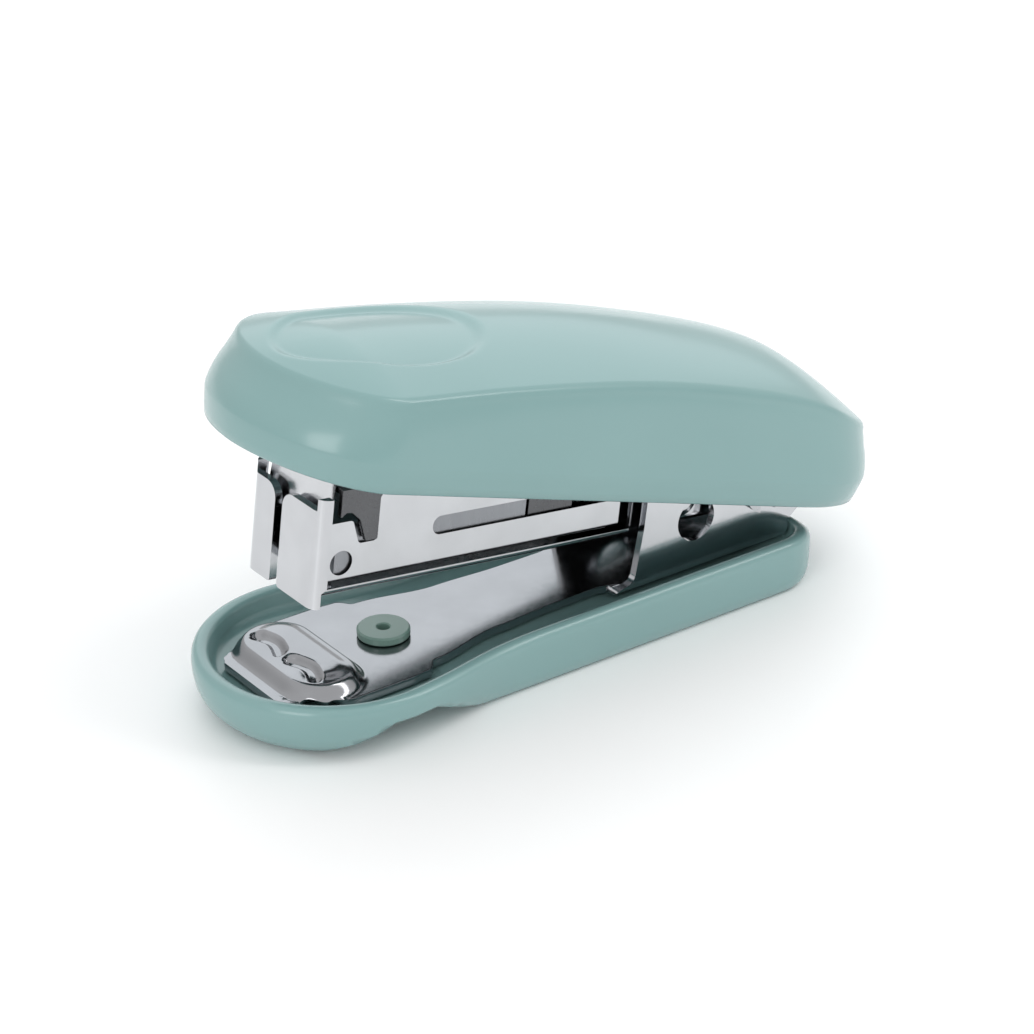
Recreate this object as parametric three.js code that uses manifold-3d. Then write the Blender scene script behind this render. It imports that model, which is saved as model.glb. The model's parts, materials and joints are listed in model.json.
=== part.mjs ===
// Mini stapler, resting on its base with the magazine and the handle sprung open.
// Millimetres. The jaw faces -Y, the hinge is at +Y, +Z is up and X = 0 is the plane of symmetry.
import * as THREE from 'three';
import { mergeVertices } from 'three/addons/utils/BufferGeometryUtils.js';
import Module from 'manifold-3d';

const wasm = await Module();
wasm.setup();

// ---------- driving dimensions ----------

// Clearances
const SEAT_GAP = 0.3;              // between pieces that rest on or beside each other
const RUNNING_GAP = 0.06;          // radial, between a pin and its hole

// Base cover (plastic tray); Y = 0 is the centre of its round front
const BASE_FRONT_RADIUS = 11.6;
const BASE_TAIL_HALF_WIDTH = 9.7;
const BASE_TAIL_FROM_Y = 15;       // where the sides become parallel
const BASE_REAR_Y = 46.2;
const BASE_REAR_CORNER_RADIUS = 4.8;
const BASE_RIM_HEIGHT = 5.1;
const BASE_REAR_RIM_HEIGHT = 3.5;  // the rim dips behind the ears, where the handle's tail swings
const BASE_WALL = 1.5;
const BASE_FLOOR_TOP = 2.9;
const ARCH_FROM_Y = -7.6;          // the arch between the two feet, at table level
const ARCH_TO_Y = 9.2;
const ARCH_CROWN_FROM_Y = -1.5;
const ARCH_CROWN_TO_Y = 2.6;
const ARCH_EDGE_HEIGHT = 3.2;
const ARCH_ROOF_HEIGHT = 2;
const POCKET_DEPTH = 1.2;
const POCKET_WALL = 3.4;

// Base plate (steel): anvil, web and ears
const SHEET = 0.7;
const ANVIL_CENTRE_Y = -3.45;
const ANVIL_HALF_LENGTH = 7.5;
const ANVIL_HALF_DEPTH = 4.05;
const ANVIL_RISE = 1.2;
const CLINCH_GROOVE_Y = -4.2;
const CLINCH_GROOVE_INNER_X = 0.35;
const CLINCH_GROOVE_OUTER_X = 4.95;
const CLINCH_GROOVE_WIDTH = 1.1;
const CLINCH_GROOVE_DEPTH = 0.45;
const PLATE_TONGUE_HALF_WIDTH = 4.8;
const PLATE_TONGUE_FRONT_Y = -8;
const PLATE_SHOULDER_HALF_WIDTH = 7.2;
const PLATE_SHOULDER_REAR_Y = 5.0;
const PLATE_WAIST_HALF_WIDTH = 4.1;
const EAR_INNER_HALF_WIDTH = 5.3;
const EAR_FRONT_Y = 27;
const EAR_HOLE_Y = 33.6;
const EAR_HOLE_Z = 8.4;
const EAR_HOLE_RADIUS = 2.0;

// Snap rivet that holds the plate to the tray
const RIVET_Y = 5.1;
const RIVET_DISC_RADIUS = 2.25;
const RIVET_DISC_THICKNESS = 0.7;
const RIVET_SHANK_RADIUS = 1.1;
const RIVET_EYE_RADIUS = 0.55;

// Pivot
const PIVOT_Y = 41;
const PIVOT_Z = 9.6;
const PIN_RADIUS = 1.3;
const PIN_HEAD_RADIUS = 2.1;
const PIN_HEAD_THICKNESS = 0.7;
const CLIP_OUTER_RADIUS = 2.4;
const CLIP_THICKNESS = 0.5;
const SPRING_LEG_RISE = 0.75;      // of the spring's upper leg over the magazine floor's height at the pivot

// Resting angles above the table, in degrees
const MAGAZINE_TILT = 7.36;
const HANDLE_TILT = 18.25;
const HANDLE_PRESS = 7.2;          // how far the handle turns about the magazine to drive a staple

// Magazine, measured from the pivot: its front face is this far ahead and its floor this far below
const MAGAZINE_REACH = 45.8;
const MAGAZINE_DROP = 2.9;
const MAGAZINE_HALF_WIDTH = 5.1;
const MAGAZINE_REAR_HALF_WIDTH = 4.7;
const MAGAZINE_WALL_HEIGHT = 8.4;
const MAGAZINE_CORNER_RADIUS = 1.1;
const MAGAZINE_NARROWS_AT = 31.9;  // distance behind the front face
const MAGAZINE_FLOOR_END = 36;
const MAGAZINE_TAIL_RADIUS = 2.9;
const FLAP_TOP = 6.7;
const FLAP_DROP = 1.05;            // the front flaps reach this far below the floor
const FLAP_SLIT_X = -0.9;
const FLAP_SLIT_WIDTH = 1.05;
const EXIT_SLOT_END = 2.0;
const NOTCH_FROM = 1.15;           // top cut-out of each side wall
const NOTCH_TO = 6.15;
const NOTCH_LEDGE_HEIGHT = 6.0;
const NOTCH_POCKET_FROM = 4.35;
const NOTCH_POCKET_HEIGHT = 3.9;
const WINDOW_FROM = 11.6;
const WINDOW_TO = 31;
const WINDOW_LOW = 3.3;
const WINDOW_HIGH = 4.95;
const SIDE_HOLE_AT = 2.8;
const SIDE_HOLE_HEIGHT = 2.45;
const SIDE_HOLE_RADIUS = 1.06;

// Staples and what guides them, heights above the magazine's floor line
const STAPLE_HALF_WIDTH = 4.15;
const STAPLE_HEIGHT = 4.7;
const STAPLE_WIRE = 0.5;
const STAPLE_STRIP_FROM = 2.3;
const STAPLE_STRIP_TO = 21.2;
const RAIL_SHEET = 0.55;
const RAIL_SIDE_GAP = 0.25;
const RAIL_END = 40;
const RAIL_SLOT_HALF_WIDTH = 0.9;
const RAIL_SLOT_FROM = 20.5;
const RAIL_SLOT_TO = 34.6;
const PUSHER_LENGTH = 4.6;
const PUSHER_TRAVEL = 5;
const ROD_RADIUS = 0.55;
const ROD_HEIGHT = 2.75;
const ROD_FROM = 3.4;
const BRACKET_AT = 34.9;
const BRACKET_THICKNESS = 0.6;
const COIL_RADIUS = 1.45;
const COIL_WIRE_RADIUS = 0.18;
const COIL_TURNS = 8;
const RAIL_RIVET_AT = 37.9;
const RAIL_RIVET_HEIGHT = 2.2;
const RAIL_RIVET_RADIUS = 0.9;
const RAIL_RIVET_HEAD_RADIUS = 1.5;
const RAIL_RIVET_HEAD_THICKNESS = 0.28;

// Driver guide, keyed into the magazine's notches
const GUIDE_SHEET = 0.5;
const GUIDE_SIDE_INSET = 0.25;      // of its walls from the magazine's outer faces
const GUIDE_TOP = 9;
const GUIDE_FRONT = 2.1;

// Driver blade
const BLADE_THICKNESS = 0.5;
const BLADE_HALF_WIDTH = 4.1;
const BLADE_TIP = -0.2;            // height of the tip when the handle is pressed home

// Handle frame, heights above the pivot in the handle's own frame
const FRAME_HALF_WIDTH = 3.8;
const FRAME_SHEET = 0.6;
const FRAME_WEB_TOP = 5.7;
const FRAME_LIP = 1.5;
const FRAME_REAR = 3.2;
const FRAME_EYE_RADIUS = 2.7;
const BLADE_FLANGE_LENGTH = 6.5;
const LEAF_THICKNESS = 0.4;
const LEAF_HALF_WIDTH = 2.4;
const LEAF_TIP_FROM_PIVOT = 22.3;
const FRAME_RIVET_RADIUS = 0.9;
const FRAME_RIVET_HEAD_RADIUS = 1.6;

// Handle cover (plastic shell), heights above its lower edge
const COVER_FRONT = 52.9;          // ahead of the pivot
const COVER_REAR = 12.2;           // behind the pivot
const COVER_HALF_WIDTH = 11.7;
const COVER_EDGE_TUCK = 0.47;
const COVER_CREASE_HEIGHT = 2.3;
const COVER_WALL = 1.2;
const COVER_CROWN = 2.4;
const COVER_PIVOT_HEIGHT = 0.25;   // of the pivot above the lower edge
const COVER_NOSE_LENGTH = 8.6;
const COVER_NOSE_SQUARENESS = 1.85;
const COVER_TAIL_LENGTH = 11.6;
const COVER_TAIL_SQUARENESS = 2.35;
const COVER_TOP_INSET = 1.12;      // of the shoulder from the widest line
const COVER_NOSE_LEAN = 0.65;      // extra inset of the shoulder at the nose
const COVER_TAIL_LEAN = 0.25;
const COVER_BRIM = 0.35;           // of the roof's edge over the shoulder line

// ---------- materials ----------

const plastic = new THREE.MeshStandardMaterial({ color: 0x9cc3bd, roughness: 0.35, metalness: 0 });
const bright = new THREE.MeshStandardMaterial({ color: 0xd4d7dc, roughness: 0.15, metalness: 1 });
const spring = new THREE.MeshStandardMaterial({ color: 0x9a9da1, roughness: 0.3, metalness: 1 });
const staple = new THREE.MeshStandardMaterial({ color: 0xb9bcc0, roughness: 0.35, metalness: 1 });

// ---------- solids ----------

function solid(geometry) {
  const bare = geometry.clone();
  bare.deleteAttribute('normal');
  bare.deleteAttribute('uv');
  const merged = mergeVertices(bare, 1e-4);
  const index = Array.from(merged.index.array);
  const triangles = [];
  for (let i = 0; i < index.length; i += 3) {
    const [a, b, c] = index.slice(i, i + 3);
    if (a !== b && b !== c && c !== a) {
      triangles.push(a, b, c);
    }
  }
  return new wasm.Manifold(new wasm.Mesh({
    numProp: 3,
    vertProperties: Float32Array.from(merged.attributes.position.array),
    triVerts: Uint32Array.from(triangles),
  }));
}

function piece(name, body, material) {
  const mesh = body.getMesh();
  const geometry = new THREE.BufferGeometry();
  geometry.setAttribute('position', new THREE.BufferAttribute(mesh.vertProperties, 3));
  geometry.setIndex(new THREE.BufferAttribute(mesh.triVerts, 1));
  const flat = geometry.toNonIndexed();
  flat.computeVertexNormals();
  const part = new THREE.Mesh(flat, material);
  part.name = name;
  return part;
}

function union(...bodies) {
  return bodies.reduce((sum, next) => sum.add(next));
}

// An outline with rounded corners, from [u, v, radius] points.
function roundedShape(points) {
  const shape = new THREE.Shape();
  points.forEach(([u, v, radius = 0], i) => {
    const here = new THREE.Vector2(u, v);
    const last = points[(i + points.length - 1) % points.length];
    const next = points[(i + 1) % points.length];
    const back = new THREE.Vector2(last[0] - u, last[1] - v).normalize();
    const ahead = new THREE.Vector2(next[0] - u, next[1] - v).normalize();
    const half = Math.acos(THREE.MathUtils.clamp(back.dot(ahead), -1, 1)) / 2;
    const reach = radius / Math.tan(half);
    const from = here.clone().addScaledVector(back, reach);
    const to = here.clone().addScaledVector(ahead, reach);
    if (i === 0) {
      shape.moveTo(from.x, from.y);
    } else {
      shape.lineTo(from.x, from.y);
    }
    if (radius > 0) {
      shape.quadraticCurveTo(u, v, to.x, to.y);
    }
  });
  shape.closePath();
  return shape;
}

function circleShape(u, v, radius) {
  const shape = new THREE.Shape();
  shape.absarc(u, v, radius, 0, 2 * Math.PI, false);
  return shape;
}

const extrude = (shape, depth, curveSegments = 6) =>
  new THREE.ExtrudeGeometry(shape, { depth, bevelEnabled: false, curveSegments });

// Side outline in (Y, Z), extruded along X.
function alongX(shape, fromX, toX, curveSegments) {
  const geometry = extrude(shape, toX - fromX, curveSegments);
  geometry.applyMatrix4(new THREE.Matrix4().set(0, 0, 1, fromX, 1, 0, 0, 0, 0, 1, 0, 0, 0, 0, 0, 1));
  return solid(geometry);
}

// Front outline in (X, Z), extruded along Y.
function alongY(shape, fromY, toY, curveSegments) {
  const geometry = extrude(shape, toY - fromY, curveSegments);
  geometry.applyMatrix4(new THREE.Matrix4().set(1, 0, 0, 0, 0, 0, -1, toY, 0, 1, 0, 0, 0, 0, 0, 1));
  return solid(geometry);
}

// Plan outline in (X, Y), extruded along Z.
function alongZ(shape, fromZ, toZ, curveSegments) {
  const geometry = extrude(shape, toZ - fromZ, curveSegments);
  geometry.translate(0, 0, fromZ);
  return solid(geometry);
}

function box(fromX, toX, fromY, toY, fromZ, toZ) {
  const geometry = new THREE.BoxGeometry(toX - fromX, toY - fromY, toZ - fromZ);
  geometry.translate((fromX + toX) / 2, (fromY + toY) / 2, (fromZ + toZ) / 2);
  return solid(geometry);
}

// A turned piece about the X axis, from [radius, x] points that start and end on the axis.
function turnedAboutX(profile, y, z, segments = 32) {
  const geometry = new THREE.LatheGeometry(profile.map(([r, x]) => new THREE.Vector2(r, x)), segments);
  geometry.rotateZ(-Math.PI / 2);
  geometry.translate(0, y, z);
  return solid(geometry);
}

function turnedAboutZ(profile, x, y, segments = 32) {
  const geometry = new THREE.LatheGeometry(profile.map(([r, z]) => new THREE.Vector2(r, z)), segments);
  geometry.rotateX(Math.PI / 2);
  geometry.translate(x, y, 0);
  return solid(geometry);
}

// A closed skin through rings of equally many points, from one collapsed ring to another.
function loft(rings) {
  const count = rings[0].length;
  const positions = rings.flat().flatMap((p) => [p.x, p.y, p.z]);
  const index = [];
  for (let k = 0; k + 1 < rings.length; k += 1) {
    for (let i = 0; i < count; i += 1) {
      const j = (i + 1) % count;
      const [a, b, c, d] = [k * count + i, k * count + j, (k + 1) * count + j, (k + 1) * count + i];
      index.push(a, b, c, a, c, d);
    }
  }
  const geometry = new THREE.BufferGeometry();
  geometry.setAttribute('position', new THREE.Float32BufferAttribute(positions, 3));
  geometry.setIndex(index);
  return solid(geometry);
}

// A round wire along a path.
function wire(path, radius, steps, sides = 8) {
  const geometry = new THREE.ExtrudeGeometry(circleShape(0, 0, radius), {
    steps,
    extrudePath: path,
    bevelEnabled: false,
    curveSegments: sides / 2,
  });
  return solid(geometry);
}

// ---------- base ----------

const PLATE_BOTTOM = BASE_FLOOR_TOP + SEAT_GAP;
const PLATE_TOP = PLATE_BOTTOM + SHEET;
const EAR_OUTER_HALF_WIDTH = EAR_INNER_HALF_WIDTH + SHEET;
const TRAY_FLOOR_INSET = BASE_WALL + 0.3;
const EAR_REAR_Y = BASE_REAR_Y - TRAY_FLOOR_INSET - SEAT_GAP;

// Tray outline, drawn in by one distance at its round front and another along its tail.
function trayRing(frontInset, tailInset, z) {
  const radius = BASE_FRONT_RADIUS - frontInset;
  const half = BASE_TAIL_HALF_WIDTH - tailInset;
  const rear = BASE_REAR_Y - tailInset;
  const corner = Math.max(BASE_REAR_CORNER_RADIUS - tailInset, 1);
  const leaveAngle = 0.1;
  const leave = new THREE.Vector2(radius * Math.cos(leaveAngle), radius * Math.sin(leaveAngle));
  const tangent = new THREE.Vector2(-Math.sin(leaveAngle), Math.cos(leaveAngle));
  const joinY = BASE_TAIL_FROM_Y;
  const side = [];
  for (let i = 0; i <= 20; i += 1) {
    const angle = -Math.PI / 2 + (i / 20) * (Math.PI / 2 + leaveAngle);
    side.push(new THREE.Vector2(radius * Math.cos(angle), radius * Math.sin(angle)));
  }
  const shoulder = new THREE.CubicBezierCurve(
    leave,
    leave.clone().addScaledVector(tangent, (joinY - leave.y) * 0.43),
    new THREE.Vector2(half, joinY - (joinY - leave.y) * 0.46),
    new THREE.Vector2(half, joinY),
  );
  side.push(...shoulder.getPoints(8).slice(1));
  for (let i = 1; i <= 4; i += 1) {
    side.push(new THREE.Vector2(half, THREE.MathUtils.lerp(joinY, rear - corner, i / 4)));
  }
  for (let i = 1; i <= 7; i += 1) {
    const angle = (i / 7) * (Math.PI / 2);
    side.push(new THREE.Vector2(
      half - corner + corner * Math.cos(angle),
      rear - corner + corner * Math.sin(angle),
    ));
  }
  side.push(new THREE.Vector2(0, rear));
  const mirrored = side.slice(1, -1).reverse().map((p) => new THREE.Vector2(-p.x, p.y));
  return [...side, ...mirrored].map((p) => new THREE.Vector3(p.x, p.y, z));
}

// The same ring drawn together onto the centre line.
function spineOf(ring) {
  const rear = BASE_REAR_Y - BASE_TAIL_HALF_WIDTH;
  return ring.map((p) => new THREE.Vector3(0, THREE.MathUtils.clamp(p.y, 0, rear), p.z));
}

// A ring of the rim, dipping behind the ears; share is how much of the dip it takes.
function rimRing(inset, z, share) {
  const from = EAR_REAR_Y - 0.9;
  return trayRing(inset, inset, z).map((p) => {
    const along = THREE.MathUtils.clamp((p.y - from) / (BASE_REAR_Y - from), 0, 1);
    const dip = (BASE_RIM_HEIGHT - BASE_REAR_RIM_HEIGHT) * (1 - Math.sqrt(1 - along ** 2));
    return new THREE.Vector3(p.x, p.y, p.z - share * dip);
  });
}

function trayArch() {
  const below = -1;
  const cap = ARCH_ROOF_HEIGHT;
  const roof = trayRing(2.4, 2.2, cap);
  const ground = trayRing(-1, -1, below);
  const underside = loft([
    spineOf(ground),
    ground,
    trayRing(-1, -1, ARCH_EDGE_HEIGHT),
    trayRing(0.6, 0.4, ARCH_EDGE_HEIGHT),
    roof,
    spineOf(roof),
  ]);
  const frontSlope = (ARCH_CROWN_FROM_Y - ARCH_FROM_Y) / ARCH_EDGE_HEIGHT;
  const rearSlope = (ARCH_TO_Y - ARCH_CROWN_TO_Y) / ARCH_EDGE_HEIGHT;
  const side = alongX(roundedShape([
    [ARCH_FROM_Y + frontSlope * below, below],
    [ARCH_TO_Y - rearSlope * below, below],
    [ARCH_CROWN_TO_Y - 0.1 * rearSlope, ARCH_EDGE_HEIGHT + 0.1, 1.5],
    [ARCH_CROWN_FROM_Y + 0.1 * frontSlope, ARCH_EDGE_HEIGHT + 0.1, 1.5],
  ]), -BASE_FRONT_RADIUS - 2, BASE_FRONT_RADIUS + 2);
  return underside.intersect(side);
}

function baseCover() {
  const sole = trayRing(2.9, 0.95, 0);
  const floorLevel = trayRing(BASE_WALL + 0.9, TRAY_FLOOR_INSET, BASE_FLOOR_TOP);
  const tray = loft([
    spineOf(sole),
    sole,
    trayRing(1.7, 0.35, 0.5),
    trayRing(0.85, 0.1, 1.2),
    trayRing(0.15, 0.02, 2.5),
    rimRing(0, BASE_RIM_HEIGHT - 1, 0.6),
    rimRing(0.14, BASE_RIM_HEIGHT - 0.4, 0.9),
    rimRing(0.55, BASE_RIM_HEIGHT, 1),
    rimRing(BASE_WALL - 0.4, BASE_RIM_HEIGHT - 0.05, 1),
    rimRing(BASE_WALL, BASE_RIM_HEIGHT - 0.45, 0.9),
    floorLevel,
    spineOf(floorLevel),
  ]);
  const pocketHalf = BASE_TAIL_HALF_WIDTH - POCKET_WALL;
  const pocket = alongZ(roundedShape([
    [-pocketHalf, ARCH_TO_Y + 5, 2],
    [pocketHalf, ARCH_TO_Y + 5, 2],
    [pocketHalf, BASE_REAR_Y - 6, 2],
    [-pocketHalf, BASE_REAR_Y - 6, 2],
  ]), -1, POCKET_DEPTH);
  const socket = alongZ(circleShape(0, RIVET_Y, RIVET_SHANK_RADIUS + SEAT_GAP), -1, PLATE_TOP, 8);
  return piece('base_cover', tray.subtract(trayArch()).subtract(pocket).subtract(socket), plastic);
}

// The raised clinching pad, or the hollow under it, as a tapered stadium.
function anvilPad(shrink, fromZ, toZ) {
  const rings = [[0, fromZ], [0.15, toZ - 0.9 * ANVIL_RISE], [0.75, toZ - 0.2], [1.15, toZ]];
  const outline = ([inset, z]) => {
    const points = [];
    const depth = ANVIL_HALF_DEPTH - inset - shrink;
    const straight = ANVIL_HALF_LENGTH - ANVIL_HALF_DEPTH;
    for (let i = 0; i < 48; i += 1) {
      const angle = (i / 48) * 2 * Math.PI - Math.PI / 2 + Math.PI / 48;
      const x = depth * Math.cos(angle) + straight * Math.sign(Math.cos(angle));
      points.push(new THREE.Vector3(x, ANVIL_CENTRE_Y + depth * Math.sin(angle), z));
    }
    return points;
  };
  const skins = rings.map(outline);
  const flat = (ring) => ring.map((p) => new THREE.Vector3(p.x, ANVIL_CENTRE_Y, p.z));
  return loft([flat(skins[0]), ...skins, flat(skins[skins.length - 1])]);
}

function clinchGroove(side) {
  const from = CLINCH_GROOVE_INNER_X;
  const to = CLINCH_GROOVE_OUTER_X;
  const half = CLINCH_GROOVE_WIDTH / 2;
  const low = Math.min(side * from, side * to);
  const high = Math.max(side * from, side * to);
  const top = PLATE_TOP + ANVIL_RISE;
  return alongZ(roundedShape([
    [low, CLINCH_GROOVE_Y - half, half * 0.9],
    [high, CLINCH_GROOVE_Y - half, half * 0.9],
    [high, CLINCH_GROOVE_Y + half, half * 0.9],
    [low, CLINCH_GROOVE_Y + half, half * 0.9],
  ]), top - CLINCH_GROOVE_DEPTH, top + 1);
}

function plateWeb() {
  const shoulder = PLATE_SHOULDER_HALF_WIDTH;
  const waist = PLATE_WAIST_HALF_WIDTH;
  const half = [
    [PLATE_TONGUE_HALF_WIDTH, PLATE_TONGUE_FRONT_Y, 1.1],
    [PLATE_TONGUE_HALF_WIDTH + 0.5, ANVIL_CENTRE_Y - ANVIL_HALF_DEPTH + 1, 0.3],
    [shoulder, ANVIL_CENTRE_Y + 1, 1.5],
    [shoulder, PLATE_SHOULDER_REAR_Y, 1.2],
    [EAR_OUTER_HALF_WIDTH - 0.1, PLATE_SHOULDER_REAR_Y + 1, 0.6],
    [waist + 0.45, PLATE_SHOULDER_REAR_Y + 8.5, 5],
    [waist, PLATE_SHOULDER_REAR_Y + 16, 4],
    [waist, EAR_FRONT_Y - 2.6, 1.5],
    [EAR_INNER_HALF_WIDTH, EAR_FRONT_Y + 0.6, 0.3],
    [EAR_INNER_HALF_WIDTH, EAR_REAR_Y - 0.5, 0.6],
  ];
  const mirrored = half.slice().reverse().map(([x, y, r]) => [-x, y, r]);
  return alongZ(roundedShape([...half, ...mirrored]), PLATE_BOTTOM, PLATE_TOP);
}

// Both ears and the web between them: a channel section trimmed to the ears' side outline.
function plateEars() {
  const outer = EAR_OUTER_HALF_WIDTH;
  const inner = EAR_INNER_HALF_WIDTH;
  const top = PIVOT_Z + 6;
  const channel = alongY(roundedShape([
    [-outer, PLATE_BOTTOM, 1.3],
    [outer, PLATE_BOTTOM, 1.3],
    [outer, top],
    [inner, top],
    [inner, PLATE_TOP, 0.6],
    [-inner, PLATE_TOP, 0.6],
    [-inner, top],
    [-outer, top],
  ]), EAR_FRONT_Y - 3, PIVOT_Y + 8);
  const outline = alongX(roundedShape([
    [EAR_FRONT_Y - 1.8, PLATE_BOTTOM - 1],
    [EAR_REAR_Y, PLATE_BOTTOM - 1],
    [EAR_REAR_Y, BASE_RIM_HEIGHT + 0.1, 0.3],
    [EAR_REAR_Y + 1.4, BASE_RIM_HEIGHT + 1.2, 0.3],
    [EAR_REAR_Y + 1.4, PIVOT_Z + 4, 3.4],
    [EAR_FRONT_Y + 1.5, PIVOT_Z + 4, 1.6],
    [EAR_FRONT_Y + 0.9, PIVOT_Z - 0.4, 3],
    [EAR_FRONT_Y - 0.1, PLATE_TOP + 0.5, 1.2],
    [EAR_FRONT_Y - 1.8, PLATE_TOP, 0.6],
  ]), -outer - 1, outer + 1);
  return channel.intersect(outline);
}

function basePlate() {
  const pad = anvilPad(0, PLATE_BOTTOM, PLATE_TOP + ANVIL_RISE);
  const hollow = anvilPad(SHEET, PLATE_BOTTOM - SHEET, PLATE_TOP + ANVIL_RISE - SHEET);
  const pivotHole = alongX(circleShape(PIVOT_Y, PIVOT_Z, PIN_RADIUS + RUNNING_GAP), -9, 9, 16);
  const sightHole = alongX(circleShape(EAR_HOLE_Y, EAR_HOLE_Z, EAR_HOLE_RADIUS), -9, 9, 14);
  const rivetHole = alongZ(circleShape(0, RIVET_Y, RIVET_SHANK_RADIUS + SEAT_GAP), 0, PLATE_TOP + 1, 8);
  const body = union(plateWeb(), plateEars(), pad)
    .subtract(hollow)
    .subtract(clinchGroove(-1))
    .subtract(clinchGroove(1))
    .subtract(union(pivotHole, sightHole))
    .subtract(rivetHole);
  return piece('base_plate', body, bright);
}

function baseRivet() {
  const discBottom = PLATE_TOP + 0.1;
  const discTop = discBottom + RIVET_DISC_THICKNESS;
  const body = turnedAboutZ([
    [0, ARCH_ROOF_HEIGHT + 0.2],
    [RIVET_SHANK_RADIUS, ARCH_ROOF_HEIGHT + 0.2],
    [RIVET_SHANK_RADIUS, discBottom],
    [RIVET_DISC_RADIUS - 0.05, discBottom],
    [RIVET_DISC_RADIUS, discBottom + 0.1],
    [RIVET_DISC_RADIUS, discTop - 0.15],
    [RIVET_DISC_RADIUS - 0.15, discTop],
    [RIVET_EYE_RADIUS + 0.1, discTop],
    [RIVET_EYE_RADIUS, discTop - 0.1],
    [RIVET_EYE_RADIUS, discBottom - 0.6],
    [0, discBottom - 0.6],
  ], 0, RIVET_Y);
  return piece('base_rivet', body, plastic);
}

function pivotPin() {
  const headFrom = EAR_OUTER_HALF_WIDTH + SEAT_GAP / 2;
  const end = EAR_OUTER_HALF_WIDTH + 2 * SEAT_GAP + CLIP_THICKNESS + 0.5;
  const body = turnedAboutX([
    [0, -headFrom - PIN_HEAD_THICKNESS],
    [PIN_HEAD_RADIUS - 0.5, -headFrom - PIN_HEAD_THICKNESS],
    [PIN_HEAD_RADIUS, -headFrom - PIN_HEAD_THICKNESS + 0.4],
    [PIN_HEAD_RADIUS, -headFrom],
    [PIN_RADIUS, -headFrom],
    [PIN_RADIUS, end - 0.3],
    [PIN_RADIUS - 0.3, end],
    [0, end],
  ], PIVOT_Y, PIVOT_Z);
  return piece('pivot_pin', body, bright);
}

function pinClip() {
  const from = EAR_OUTER_HALF_WIDTH + SEAT_GAP;
  const ring = alongX(circleShape(PIVOT_Y, PIVOT_Z, CLIP_OUTER_RADIUS), from, from + CLIP_THICKNESS, 16);
  const bore = alongX(circleShape(PIVOT_Y, PIVOT_Z, PIN_RADIUS + RUNNING_GAP), from - 1, from + 2, 16);
  const mouth = box(from - 1, from + 2, PIVOT_Y - 0.8, PIVOT_Y + 0.8, PIVOT_Z - 4, PIVOT_Z);
  return piece('pin_clip', ring.subtract(bore).subtract(mouth), spring);
}

// Torsion spring on the pivot pin: one leg bears on the base plate, the other lifts the magazine.
function magazineSpring() {
  const coil = PIN_RADIUS + 0.95;
  const wireRadius = 0.3;
  const half = 2.2;
  const legHeight = PIVOT_Z - MAGAZINE_DROP + SPRING_LEG_RISE;
  const turns = 5;
  const points = [new THREE.Vector3(-half, PIVOT_Y - 8.5, PLATE_TOP + 0.65)];
  points.push(new THREE.Vector3(-half, PIVOT_Y - 2.5, PIVOT_Z - coil - 0.55));
  const steps = turns * 16;
  for (let i = 0; i <= steps; i += 1) {
    const angle = (i / 16) * 2 * Math.PI;
    points.push(new THREE.Vector3(
      -half + (i / steps) * 2 * half,
      PIVOT_Y + coil * Math.sin(angle),
      PIVOT_Z - coil * Math.cos(angle),
    ));
  }
  points.push(new THREE.Vector3(half, PIVOT_Y - 3, PIVOT_Z - coil - 0.05));
  points.push(new THREE.Vector3(half, PIVOT_Y - 10, legHeight));
  const path = new THREE.CatmullRomCurve3(points, false, 'centripetal');
  return piece('magazine_spring', wire(path, wireRadius, 140), spring);
}

// ---------- magazine: Y is measured from the pivot, Z from the pivot ----------

const MAG_FRONT = -MAGAZINE_REACH;
const MAG_FLOOR = -MAGAZINE_DROP;
const magY = (behindFront) => MAG_FRONT + behindFront;
const magZ = (aboveFloor) => MAG_FLOOR + aboveFloor;
const STAPLE_BOTTOM = SHEET + 0.15;
const STAPLE_TOP = STAPLE_BOTTOM + STAPLE_HEIGHT;
const RAIL_HALF_WIDTH = STAPLE_HALF_WIDTH - STAPLE_WIRE - RAIL_SIDE_GAP;
const RAIL_TOP = STAPLE_TOP - STAPLE_WIRE - 0.2;
const RAIL_BOTTOM = SHEET + SEAT_GAP;

function channelSection(half, top, corner) {
  const inner = half - SHEET;
  return roundedShape([
    [-half, MAG_FLOOR, corner],
    [half, MAG_FLOOR, corner],
    [half, top],
    [inner, top],
    [inner, MAG_FLOOR + SHEET, corner / 2],
    [-inner, MAG_FLOOR + SHEET, corner / 2],
    [-inner, top],
    [-half, top],
  ]);
}

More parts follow.
